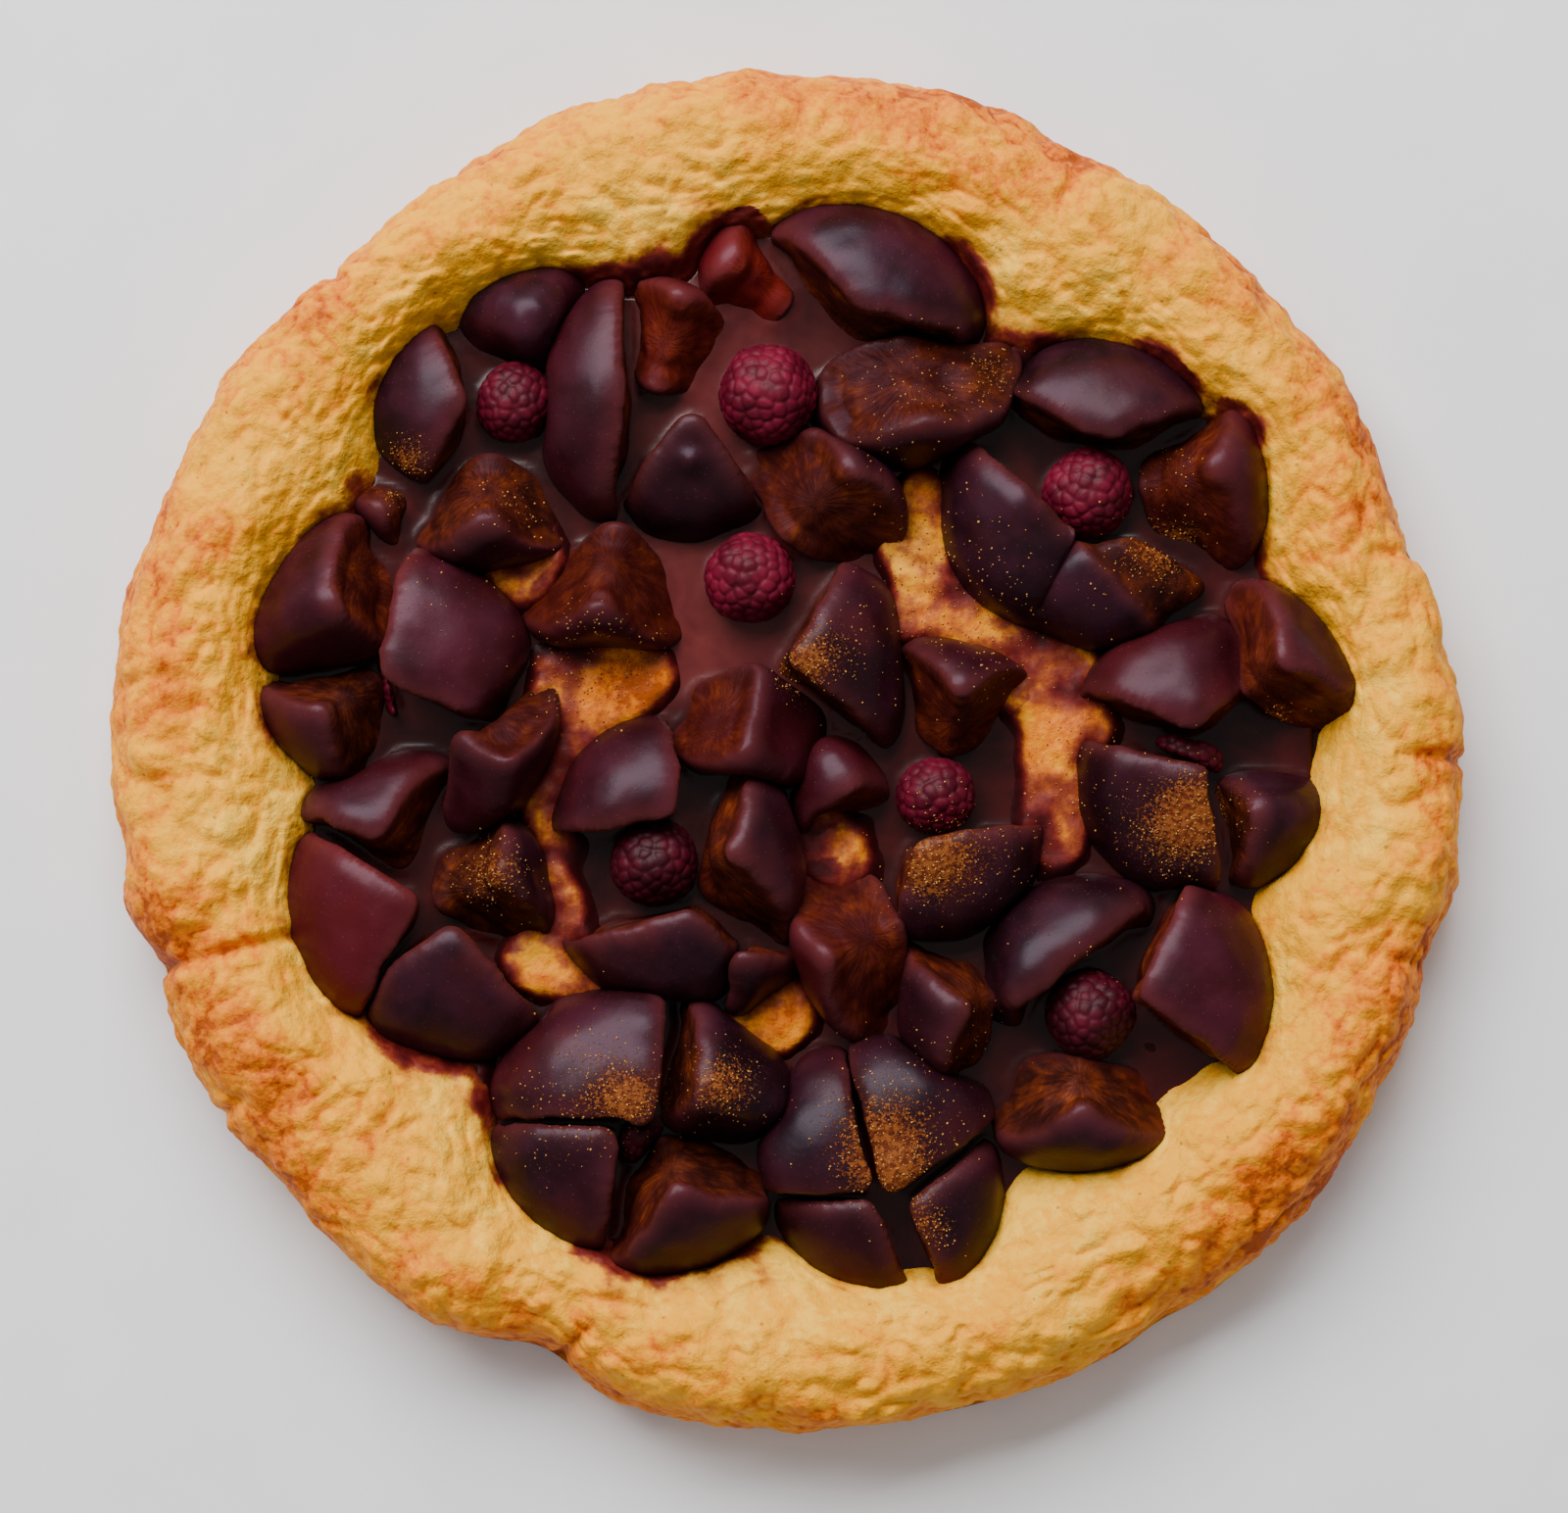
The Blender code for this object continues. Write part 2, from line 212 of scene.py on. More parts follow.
def blend(tree, share, first, second):
    """Two colours mixed. Colours go into a mix node's sockets 6 and 7 and come out of 2."""
    node = tree.nodes.new("ShaderNodeMix")
    node.data_type = "RGBA"
    for value, socket in ((share, 0), (first, 6), (second, 7)):
        plug(tree, value, node.inputs[socket])
    return node.outputs[2]


def ramp(tree, value, stops):
    """A run of 0-255 colours along a value."""
    node = tree.nodes.new("ShaderNodeValToRGB")
    plug(tree, value, node.inputs["Fac"])
    band = node.color_ramp
    while len(band.elements) < len(stops):
        band.elements.new(0.5)
    for element, (place, shade) in zip(band.elements, stops):
        element.position = place
        element.color = colour(*shade)
    return node.outputs["Color"]


def raised(tree, height, depth, strength=1.0, under=None):
    """Fine relief: the height's grey value stands this many metres proud."""
    node = tree.nodes.new("ShaderNodeBump")
    node.inputs["Distance"].default_value = depth
    node.inputs["Strength"].default_value = strength
    plug(tree, height, node.inputs["Height"])
    if under is not None:
        plug(tree, under, node.inputs["Normal"])
    return node.outputs["Normal"]


# %% [markdown]
# ## Helpers for meshes
# A voxel remesh rebuilds any closed shape as small even squares, which noise can then move like
# soft clay. Smoothing pulls every point towards its neighbours: a few rounds take the facets of
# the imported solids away, and points that should stay sharp are given less of it.

# %% Mesh helpers
SAME_PLACE = 1e-5


def merged_copy(node):
    """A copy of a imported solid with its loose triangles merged."""
    mesh = bmesh.new()
    mesh.from_mesh(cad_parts[node].data)
    bmesh.ops.remove_doubles(mesh, verts=mesh.verts, dist=SAME_PLACE)
    return mesh


def data_of(mesh, name):
    """Writes a bmesh to new mesh data and frees it."""
    data = bpy.data.meshes.new(name)
    mesh.to_mesh(data)
    mesh.free()
    return data


def new_object(name, data):
    """A new object in the scene, at the origin."""
    thing = bpy.data.objects.new(name, data)
    bpy.context.scene.collection.objects.link(thing)
    return thing


def fine_mesh(mesh, name, voxel):
    """The closed bmesh rebuilt as small even squares. Returns the mesh data."""
    data = data_of(mesh, name)
    holder = new_object(name, data)
    rebuild = holder.modifiers.new("Even squares", "REMESH")
    rebuild.mode = "VOXEL"
    rebuild.voxel_size = voxel
    rebuilt = holder.evaluated_get(bpy.context.evaluated_depsgraph_get())
    finished = bpy.data.meshes.new_from_object(rebuilt)
    bpy.data.objects.remove(holder)
    bpy.data.meshes.remove(data)
    finished.name = name
    return finished


def read(items, name, width=1, kind=float):
    """One property of every vertex, edge or face, a row each."""
    values = np.empty(len(items) * width, dtype=kind)
    items.foreach_get(name, values)
    return values.reshape(-1, width)


def points_of(data):
    return read(data.vertices, "co", 3)


def normals_of(data):
    return read(data.vertices, "normal", 3)


def edges_of(data):
    return read(data.edges, "vertices", 2, np.int32)


def set_points(data, points):
    data.vertices.foreach_set("co", points.reshape(-1).astype(np.float32))
    data.update()


def relax(points, ends, rounds, pull=0.5):
    """Moves every point's values towards the mean of its neighbours', by its own pull."""
    count = len(points)
    degree = np.bincount(ends.reshape(-1), minlength=count).clip(1)
    pull = np.broadcast_to(np.asarray(pull, dtype=float), (count,))[:, None]
    for _ in range(rounds):
        middle = np.empty_like(points)
        for axis in range(points.shape[1]):
            column = points[:, axis]
            total = np.bincount(ends[:, 0], weights=column[ends[:, 1]], minlength=count)
            total += np.bincount(ends[:, 1], weights=column[ends[:, 0]], minlength=count)
            middle[:, axis] = total / degree
        points = points + (middle - points) * pull
    return points


def relaxed_value(values, ends, rounds):
    """The same for a single value on every point."""
    return relax(values[:, None], ends, rounds)[:, 0]


def store(data, name, values, kind="FLOAT"):
    """Writes a value or a vector on every point, for the finish to read."""
    layer = data.attributes.new(name, kind, "POINT")
    field = "vector" if kind == "FLOAT_VECTOR" else "value"
    layer.data.foreach_set(field, np.asarray(values, dtype=np.float32).reshape(-1))


def all_faces(pieces):
    """One search tree over the meshes of many pieces."""
    spots, corners, start = [], [], 0
    for piece in pieces:
        loops = read(piece.data.loops, "vertex_index", kind=np.int32)[:, 0]
        ends_of_faces = np.cumsum(read(piece.data.polygons, "loop_total", kind=np.int32))
        corners += [list(face) for face in np.split(loops + start, ends_of_faces[:-1])]
        spots.append(points_of(piece.data))
        start += len(spots[-1])
    return BVHTree.FromPolygons(np.concatenate(spots).tolist(), corners)


def add_piece(data, finish, slot, *nodes):
    """Makes the finished piece of a mesh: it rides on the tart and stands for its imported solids."""
    data.polygons.foreach_set("use_smooth", np.ones(len(data.polygons), dtype=bool))
    data.materials.clear()
    data.materials.append(finish)
    piece = new_object(data.name, data)
    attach(piece, "root")
    if nodes:
        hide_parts(*nodes)
    return piece


def give_thickness(sheet, thickness):
    """Turns a sheet into a closed slab."""
    shell = sheet.modifiers.new("Closed sheet", "SOLIDIFY")
    shell.thickness = thickness
    shell.offset = -1


# %% [markdown]
# ## Plum: skin, flesh and a little cinnamon
# A baked plum has a thin dark skin, glossy and purple-brown, that stands a little proud of the
# cut flesh. The flesh is brown-red, with fibres that run from the stone to the skin. One finish
# serves every piece: a value named flesh on each point says which of the two is seen, and others
# say how near the skin's edge is, how dark or red this piece is, and where cinnamon lies.

# %% Plum finish
plum_finish, tree, shader = new_finish("baked plum")
where = object_place(tree)
flesh, edge = attribute(tree, "flesh"), attribute(tree, "edge")
dust, shade, red = attribute(tree, "dust"), attribute(tree, "shade"), attribute(tree, "red")
fibre = attribute(tree, "fibre", "Vector")

clouds = speckle(tree, where, 95, 3, 0.55)
skin = blend(tree, between(tree, clouds, 0.35, 0.7), colour(23, 7, 12), colour(45, 15, 26))
ruddy = part_of(tree, between(tree, speckle(tree, where, 55, 2), 0.52, 0.72), 0.55)
skin = blend(tree, ruddy, skin, colour(62, 18, 19))
skin = blend(tree, part_of(tree, red, 0.8), skin, colour(80, 13, 16))
pores = between(tree, dots(tree, where, 750), 0.16, 0.06)
skin = blend(tree, part_of(tree, pores, 0.25), skin, colour(98, 60, 62))
skin = blend(tree, part_of(tree, edge, 0.5), skin, colour(98, 42, 44))

strands = speckle(tree, fibre, 1.0, 4, 0.6)
patches = speckle(tree, where, 160, 3, 0.6)
strand_value = plus(tree, part_of(tree, strands, 0.4), patches, 0.62)
meat = ramp(tree, strand_value, [
    (0.34, (26, 8, 6)),
    (0.48, (50, 17, 9)),
    (0.60, (82, 32, 12)),
    (0.78, (132, 64, 22)),
])
meat = blend(tree, part_of(tree, red, 0.65), meat, colour(92, 14, 11))
meat = blend(tree, part_of(tree, edge, 0.45), meat, colour(70, 24, 18))

body = blend(tree, flesh, skin, meat)
own_tone = plus(tree, 1.0, shade, 0.5)
scaled = tree.nodes.new("ShaderNodeVectorMath")
scaled.operation = "SCALE"
plug(tree, body, scaled.inputs[0])
plug(tree, own_tone, scaled.inputs["Scale"])
body = scaled.outputs[0]

powder = speckle(tree, where, 1900, 2, 0.6)
two_tones = between(tree, speckle(tree, where, 900, 1), 0.4, 0.6)
powder_tone = blend(tree, two_tones, colour(88, 36, 9), colour(126, 68, 24))
dusted = between(tree, plus(tree, dust, centred(tree, powder), 2.6), 0.5, 0.8)
body = blend(tree, dusted, body, powder_tone)
plug(tree, body, shader.inputs["Base Color"])

dullness = plus(tree, plus(tree, 0.30, clouds, 0.2), flesh, 0.10)
plug(tree, plus(tree, dullness, dusted, 0.4), shader.inputs["Roughness"])
shader.inputs["Specular IOR Level"].default_value = 0.11
shader.inputs["Specular Tint"].default_value = colour(240, 206, 250)
plug(tree, part_of(tree, without(tree, flesh), 0.14), shader.inputs["Coat Weight"])
shader.inputs["Coat Roughness"].default_value = 0.3

soft = raised(tree, part_of(tree, strands, flesh), 0.35 * MM, 0.8)
leather = raised(tree, speckle(tree, where, 420, 3, 0.55), 0.16 * MM, 0.7, soft)
plug(tree, raised(tree, dusted, 0.25 * MM, 1.0, leather), shader.inputs["Normal"])
print("plum finish:", len(tree.nodes), "nodes")

# %% [markdown]
# ## Which side is flesh
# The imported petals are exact: a round skin made of small facets and one or two flat cuts. After
# the coplanar triangles are dissolved, a cut is simply a large flat face that doesn't look down.
# The stone lay where the two cuts of a piece meet, and the fibres start there.

# %% Find the cuts
LEAST_CUT = 60e-6        # in square metres


def flat_cuts(mesh):
    """The flat cuts of a petal, as (a point on it, its outward normal, its area)."""
    nearly_flat = math.radians(1.5)
    bmesh.ops.dissolve_limit(mesh, angle_limit=nearly_flat, verts=mesh.verts, edges=mesh.edges)
    found = [
        (face.calc_center_median(), face.normal.copy(), face.calc_area())
        for face in mesh.faces
        if face.calc_area() > LEAST_CUT and face.normal.z > -0.4
    ]
    return sorted(found, key=lambda cut: -cut[2])


def stone_place(cuts, middle):
    """Where the stone lay: on the line where the two largest cuts meet, beside the piece's middle."""
    if len(cuts) < 2:
        return cuts[0][0].copy() if cuts else middle
    (first, first_way, _), (second, second_way, _) = cuts[:2]
    along = first_way.cross(second_way)
    if along.length < 0.2:
        return (first + second) / 2
    along.normalize()
    rows = np.array([first_way, second_way, along])
    right = np.array([first_way.dot(first), second_way.dot(second), along.dot(middle)])
    return Vector(np.linalg.solve(rows, right))


plum_names = sorted(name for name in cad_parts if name.startswith("plum"))
fruit_names = [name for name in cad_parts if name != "crust"]
middles = {name: (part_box(name)[0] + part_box(name)[1]) / 2 for name in fruit_names}
plum_middles = {}
for letter in sorted({name[5] for name in plum_names}):
    own = [middles[name] for name in plum_names if name[5] == letter]
    plum_middles[letter] = sum(own, Vector()) / len(own)

# %% Tell the knife's cuts from the others
# These cuts lie turned away or grew together, so they look like skin: which way each one faces.
SKIN_ANYWAY = {
    "a1": (-0.61, -0.69), "h2": (0.02, -0.94), "j1": (0.11, -0.91),
    "e4": (0.17, 0.91), "m2": (0.68, 0.67),
}


def flesh_sides(name, cuts):
    """Of a piece's flat sides, the ones the knife made: they face the plum's own middle."""
    outward = (middles[name] - plum_middles[name[5]]).xy.normalized()
    kept = []
    for point, way, area in cuts:
        near_a_large_one = any(way.dot(large[1]) > 0.85 for large in cuts[:2])
        faces_inwards = way.xy.dot(outward) < 0.15 or way.z > 0.45
        turned_away = way.xy.dot(Vector(SKIN_ANYWAY.get(name[5:], (0, 0)))) > 0.7
        if near_a_large_one and faces_inwards and not turned_away:
            kept.append((point, way, area))
    return kept


print("plums:", len(plum_middles), "pieces of plum:", len(plum_names))

# %% [markdown]
# ## Shape the pieces of plum
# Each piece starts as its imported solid, rebuilt as squares of about two thirds of a millimetre.
# Smoothing melts the facets into a round skin but leaves the knife's edges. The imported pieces
# stand a little apart, so each swells sideways into less than half of the gap to the next. The
# flesh has shrunk in the oven: it sinks behind the skin, whose edge stands up as a thin lip. Low
# noise gives every dome its own dents, because no two baked plums are alike.

# %% Each piece's own look
# Where cinnamon lies, as spots of the picture.
CINNAMON = [
    (415, 470, 26, 0.8), (400, 500, 20, 0.5), (520, 520, 30, 0.35), (940, 395, 60, 0.2),
    (1015, 380, 26, 0.55), (1180, 562, 36, 0.95), (1215, 545, 16, 0.9), (1305, 735, 18, 1.0),
    (1222, 830, 40, 1.0), (1190, 850, 50, 0.6), (905, 1185, 44, 1.0), (900, 1140, 60, 0.5),
    (945, 1250, 26, 0.6), (645, 1118, 32, 1.0), (600, 1120, 60, 0.35), (738, 1105, 34, 0.9),
    (505, 890, 34, 0.8), (818, 682, 28, 0.95), (850, 660, 40, 0.4), (945, 880, 40, 1.0),
    (985, 860, 60, 0.35), (560, 690, 30, 0.3), (905, 470, 30, 0.2), (1130, 980, 30, 0.15),
    (450, 600, 40, 0.12), (540, 1150, 40, 0.1), (1000, 1060, 40, 0.15), (1190, 470, 30, 0.25),
]
# shade: lighter above 0, darker below. red: how red it is. Both follow the real pieces.
PLUM_LOOKS = {
    "a1": (0.7, 0.1), "a2": (0.2, 0.1), "a3": (0.0, 0.2), "a4": (0.0, 0.1),
    "b1": (0.0, 0.25), "b2": (0.5, 0.55), "b3": (-0.3, 0.0),
    "c1": (0.4, 0.15), "c2": (0.6, 0.9), "c3": (-0.55, 0.2),
    "d1": (0.0, 0.0), "d2": (0.15, 0.0), "d4": (0.1, 0.35),
    "e1": (0.1, 0.3), "e2": (0.3, 0.2), "e3": (-0.1, 0.1), "e4": (0.2, 0.0),
    "f1": (-0.1, 0.1), "f2": (0.8, 0.1), "f3": (0.1, 0.1), "f4": (0.0, 0.1),
    "g1": (-0.15, 0.1), "g2": (-0.45, 0.0), "g3": (-0.1, 0.1), "g4": (0.1, 0.1),
    "h1": (0.3, 0.1), "h2": (0.0, 0.0), "h3": (0.1, 0.1), "h4": (-0.1, 0.1),
    "i1": (0.3, 0.2), "i2": (0.4, 0.6), "i3": (-0.1, 0.0), "i4": (0.2, 0.0),
    "j1": (0.3, 0.3), "j2": (0.7, 0.2), "j3": (0.1, 0.1), "j4": (-0.35, 0.2),
    "k1": (0.3, 0.2), "k2": (0.2, 0.2), "k3": (0.0, 0.1), "k4": (-0.1, 0.2),
    "l1": (-0.35, 0.4), "l2": (-0.2, 0.3), "l3": (0.1, 0.1), "l4": (0.0, 0.2),
    "m1": (0.1, 0.2), "m2": (0.3, 0.4), "m3": (0.1, 0.1), "m4": (0.1, 0.3),
}
PLUM_VOXEL = 0.00068

# How far a piece may swell sideways, in mm, where it has room. The rest take GROWN.
GROWN = 2.2
GROWN_MORE = {
    "a1": 3.4, "a2": 2.8, "a3": 3.6, "a4": 3.8, "b3": 3.2, "b1": 2.6, "c2": 3.2, "c3": 2.8, "d4": 3.4,
    "l1": 3.0, "h1": 2.4, "f1": 2.6, "f3": 2.6, "i3": 2.8, "e4": 2.6, "m2": 2.6,
}
# Spots where dough shows between the plums. No piece swells over them.
ISLANDS = [
    (935, 560, 34, 0.9), (950, 500, 30, 0.8), (960, 620, 34, 0.9), (1010, 650, 34, 0.9),
    (1060, 665, 34, 0.8), (1100, 680, 30, 0.7), (1090, 740, 34, 0.9), (1080, 800, 34, 0.9),
    (1075, 860, 30, 0.8), (1010, 700, 24, 0.4), (600, 690, 42, 0.8), (640, 680, 40, 0.7),
    (570, 740, 36, 0.8), (555, 800, 32, 0.8), (560, 840, 26, 0.6), (520, 580, 34, 0.8),
    (545, 560, 26, 0.6), (560, 900, 26, 0.8), (570, 960, 34, 0.9), (600, 1000, 30, 0.7),
    (540, 990, 24, 0.6), (800, 1025, 34, 0.9), (770, 1050, 26, 0.6), (835, 850, 36, 0.9),
    (855, 880, 28, 0.7), (1040, 345, 26, 0.7), (430, 1085, 30, 0.7), (480, 1100, 26, 0.7),
    (905, 640, 20, 0.5),
]
# Hollows pressed into a skin: (x, y, radius in pixels, depth in mm). A negative depth is a swelling.
HOLLOWS = {
    "b3": ((706, 473, 26, 3.2), (706, 473, 14, -2.8)),
    "d2": ((1080, 536, 24, 2.8), (1040, 516, 20, -0.5)),
    "b2": ((682, 345, 34, 2.0),),
    "c3": ((900, 385, 30, 1.2), (960, 392, 26, 1.4)),
    "l4": ((845, 470, 30, 1.4),),
    "e3": ((1180, 800, 40, 0.6),),
}


def room_to_grow(name, points):
    """Half the way from each point to the nearest other fruit, at most what this piece may grow."""
    neighbour_within, gap_that_counts, kept_free = 0.065, 0.009, 0.00012
    others = [
        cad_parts[other] for other in fruit_names
        if other != name and (middles[other] - middles[name]).length < neighbour_within
    ]
    tree = all_faces(others)
    nearest = [tree.find_nearest(point, gap_that_counts)[3] for point in points]
    away = np.array([gap or gap_that_counts for gap in nearest])
    return np.clip(away / 2 - kept_free, 0, GROWN_MORE.get(name[5:], GROWN) * MM)


def distances(points, targets):
    """How far each point is from the nearest of the targets."""
    tree = KDTree(len(targets))
    for index, target in enumerate(targets):
        tree.insert(target, index)
    tree.balance()
    return np.array([tree.find(point)[2] for point in points])


def border_distance(points, flesh):
    """How far each point is from the line where skin and flesh meet."""
    is_flesh = flesh > 0.5
    if is_flesh.all() or not is_flesh.any():
        return np.full(len(points), 0.01)
    to_skin, to_flesh = distances(points, points[~is_flesh]), distances(points, points[is_flesh])
    return np.where(is_flesh, to_skin, to_flesh)


# %% Find the flesh and melt the facets
FOOT = 0.004        # the lowest part of a piece, which stays as it is


def near_cuts(points, cuts):
    """How far each point stands in front of the nearest cut, and the way that this cut faces."""
    depth = np.full(len(points), -1.0)
    facing = np.zeros((len(points), 3))
    for spot, way, _ in cuts:
        level = (points - np.array(spot)) @ np.array(way)
        nearer = level > depth
        depth[nearer] = level[nearer]
        facing[nearer] = way
    return depth, facing


def melted(points, ends, flesh):
    """The piece with a round skin and a soft cut. The flesh is smoothed the most."""
    points = relax(points, ends, 16)
    points = relax(points, ends, 60, 0.2)
    above_foot = smooth_step(0.0, FOOT, points[:, 2] - points[:, 2].min())
    return relax(points, ends, 90, 0.5 * flesh * above_foot)


def swollen(name, data, points, ends):
    """The piece swollen sideways, but not over the islands of dough."""
    mostly_sideways = [1, 1, 0.3]
    open_dough = np.clip(1.4 * spot_sum(ISLANDS, points), 0, 1)
    swelling = relaxed_value(room_to_grow(name, points) * (1 - open_dough), ends, 12)
    points = points + normals_of(data) * mostly_sideways * swelling[:, None]
    return relax(points, ends, 6, 0.3)


# %% Shape one piece
LIP_WIDTH, LIP_HEIGHT = 0.0012, 0.0008
FLESH_SINKS, FLESH_UNEVEN, FLESH_SLOPE = 0.0018, 0.0009, 0.0034


def shape_plum(name, seed):
    """The piece's mesh, with its flesh, edge, dust and fibre values."""
    mesh = merged_copy(name)
    cuts = flesh_sides(name, flat_cuts(mesh))
    data = fine_mesh(mesh, name + "_look", PLUM_VOXEL)
    points, ends = points_of(data), edges_of(data)
    still = 1 - smooth_step(FOOT, 0.0, points[:, 2] - points[:, 2].min())
    depth, facing = near_cuts(points, cuts)
    wobble = noise_at(points, 190, seed) * 0.0007
    flesh = relaxed_value(smooth_step(-0.0011, -0.0004, depth + wobble), ends, 4)
    points = melted(points, ends, flesh)
    border = relaxed_value(border_distance(points, flesh), ends, 4)
    set_points(data, points)
    points = swollen(name, data, points, ends)
    set_points(data, points)
    normals = normals_of(data)
    facing = relax(facing, ends, 14)
    stone = np.array(stone_place(cuts, middles[name])) if cuts else np.array(middles[name])
    spokes = points - stone
    reach = np.linalg.norm(spokes, axis=1)[:, None].clip(1e-4)
    fibre = spokes / reach * 8 + points * 120

    dents = 0.0006 + noise_at(points, 62, seed) * 0.0008 + noise_at(points, 170, seed + 5) * 0.00025
    edge = np.exp(-((border / LIP_WIDTH) ** 2))
    ridges = noise_at(points, 260, seed + 9) * 0.35 + noise_at(points, 110, seed + 8) * 0.8
    sunk = flesh * smooth_step(0, FLESH_SLOPE, border) * (FLESH_SINKS + FLESH_UNEVEN * ridges)
    hollows = [(x, y, size, mm * MM) for x, y, size, mm in HOLLOWS.get(name[5:], ())]
    pressed = spot_sum(hollows, points)
    points = points + facing * ((1 - flesh) * edge * LIP_HEIGHT * still)[:, None]
    points = points + normals * ((dents * (1 - flesh) - sunk) * still)[:, None]
    points[:, 2] -= pressed * smooth_step(0.1, 0.7, normals[:, 2])
    set_points(data, points)

    light, red = PLUM_LOOKS[name[5:]]
    upward = smooth_step(0.1, 0.6, normals_of(data)[:, 2])
    store(data, "flesh", flesh)
    store(data, "edge", edge)
    store(data, "fibre", fibre, "FLOAT_VECTOR")
    store(data, "dust", spot_sum(CINNAMON, points) * upward)
    store(data, "shade", np.full(len(points), light))
    store(data, "red", np.clip(red + 0.25 * noise_at(points, 45, seed + 3), 0, 1))
    return data


# %% Make all the pieces of plum
fruit = []
for number, name in enumerate(plum_names):
    data = shape_plum(name, 3.7 * number)
    fruit.append(add_piece(data, plum_finish, "plum", name))
print("pieces of plum:", len(fruit), "points:", sum(len(piece.data.vertices) for piece in fruit))

# %% [markdown]
# ## Berries
# A raspberry is a cap of small juicy beads, the drupelets. Bead centres are laid on a spiral that
# spreads points evenly over a ball, and every point of a smoothed copy of the imported berry moves
# out by how near it is to a bead. The valleys between the beads are stored and get painted shade.

# %% Berry finish
berry_finish, tree, shader = new_finish("raspberry")
where = object_place(tree)
valley_shade = attribute(tree, "valley_shade")
tint = speckle(tree, where, 210, 3)
flush = ramp(tree, plus(tree, part_of(tree, tint, 0.9), attribute(tree, "shade"), 0.3), [
    (0.25, (50, 4, 16)),
    (0.50, (82, 7, 28)),
    (0.78, (112, 16, 42)),
])
# Painted shade: the valleys between the beads are mixed towards near black.
beads = blend(tree, part_of(tree, valley_shade, 0.35), flush, colour(34, 2, 10))
plug(tree, beads, shader.inputs["Base Color"])
plug(tree, plus(tree, 0.42, tint, 0.2), shader.inputs["Roughness"])
shader.inputs["Specular IOR Level"].default_value = 0.16
plug(tree, raised(tree, speckle(tree, where, 900, 2), 0.12 * MM, 0.6), shader.inputs["Normal"])

# %% Shape the berries
# Lighter above 0, darker below.
BERRY_LOOKS = {
    "a": 0.1, "b": 0.45, "d": 0.3, "e": -0.1, "f": -0.5, "h": -0.6, "j": 0.0, "k": -0.5, "l": 0.4, "m": 0.1,
}
BEADS = 176
BEAD_HALF_ANGLE, SEAM_ANGLE = 0.18, 0.11        # in radians
BERRY_VOXEL, BERRY_RADIUS = 0.0004, 0.0095


def bead_ways(count, seed):
    """Directions spread evenly round a ball, a little uneven as on a real berry."""
    steps = np.arange(count) + 0.5
    height = 1 - 2 * steps / count
    turn = steps * math.pi * (3 - math.sqrt(5)) + seed
    level = np.sqrt(1 - height**2)
    ways = np.column_stack([level * np.cos(turn), level * np.sin(turn), height])
    ways += 0.05 * np.random.default_rng(int(seed * 10)).normal(size=ways.shape)
    return ways / np.linalg.norm(ways, axis=1)[:, None]


def shape_berry(name, seed):
    """The berry's mesh with its beads, and the valleys between them."""
    data = fine_mesh(merged_copy(name), name + "_look", BERRY_VOXEL)
    points, ends = points_of(data), edges_of(data)
    points = relax(points, ends, 30)
    low, high = points.min(0), points.max(0)
    centre = (low + high) / 2
    centre[2] = high[2] - BERRY_RADIUS
    ways = points - centre
    ways /= np.linalg.norm(ways, axis=1)[:, None].clip(1e-6)
    nearness = ways @ bead_ways(BEADS, seed).T
    nearness.partition(nearness.shape[1] - 2, axis=1)
    first = np.arccos(nearness[:, -1].clip(-1, 1))
    second = np.arccos(nearness[:, -2].clip(-1, 1))
    seam = smooth_step(0.0, SEAM_ANGLE, second - first)
    dome = np.sqrt(np.clip(1 - (first / BEAD_HALF_ANGLE) ** 2, 0, 1))
    set_points(data, points)
    lift = (0.6 * dome + 0.4 * seam) * 0.00052 - 0.0003 + noise_at(points, 150, seed) * 0.0007
    set_points(data, points + normals_of(data) * lift[:, None])
    # Painted shade in the valleys between the beads, for the finish to darken.
    store(data, "valley_shade", 1 - smooth_step(0.05, 0.55, seam))
    store(data, "shade", np.full(len(points), BERRY_LOOKS[name[-1]]))
    return data


berries = []
for number, name in enumerate(sorted(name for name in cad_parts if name.startswith("berry"))):
    berries.append(add_piece(shape_berry(name, 1.3 * number), berry_finish, "berry", name))
print("berries:", len(berries), "points:", sum(len(piece.data.vertices) for piece in berries))

# %% [markdown]
# ## The crust
# The crust is one piece of dough, rolled up to a puffy rim. A flat grid is bent round like a fan
# until its ends meet, which gives rings and spokes. Every point is then moved to its height: low
# under the fruit, up the inner slope, over the crest, and down the outer wall to a flat foot. The
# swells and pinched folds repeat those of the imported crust. Noise whose sign is dropped, called
# billows, gives round lumps parted by sharp creases, which is how dough wrinkles as it bakes.

# %% The crust's outline
RIM_SWELLS = ((-95, 1.2, 12), (-50, 4.2, 34), (0, 1.0, 12), (90, 1.5, 25), (165, 1.2, 22))
RIM_FOLDS = (
    (8, 1.2, 3), (20, 2.6, 6), (37, 1.4, 10), (64, 1.5, 4), (118, 1.6, 4), (134, 2.0, 9),
    (-172, 1.0, 3), (-161, 1.8, 3), (-137, 1.0, 3), (-112, 4.6, 5), (-57, 1.2, 3), (-18, 1.8, 3),
)
CRUST_RADIUS, RIM_HEIGHT = 0.1283, 0.0275


def bells(angle, places):
    """The sum of the bumps at their places round the rim, in metres. All angles are in degrees."""
    total = np.zeros_like(angle)
    for place, size, width in places:
        away = (angle - place + 180) % 360 - 180
        total += size * MM * np.exp(-((away / width) ** 2))
    return total


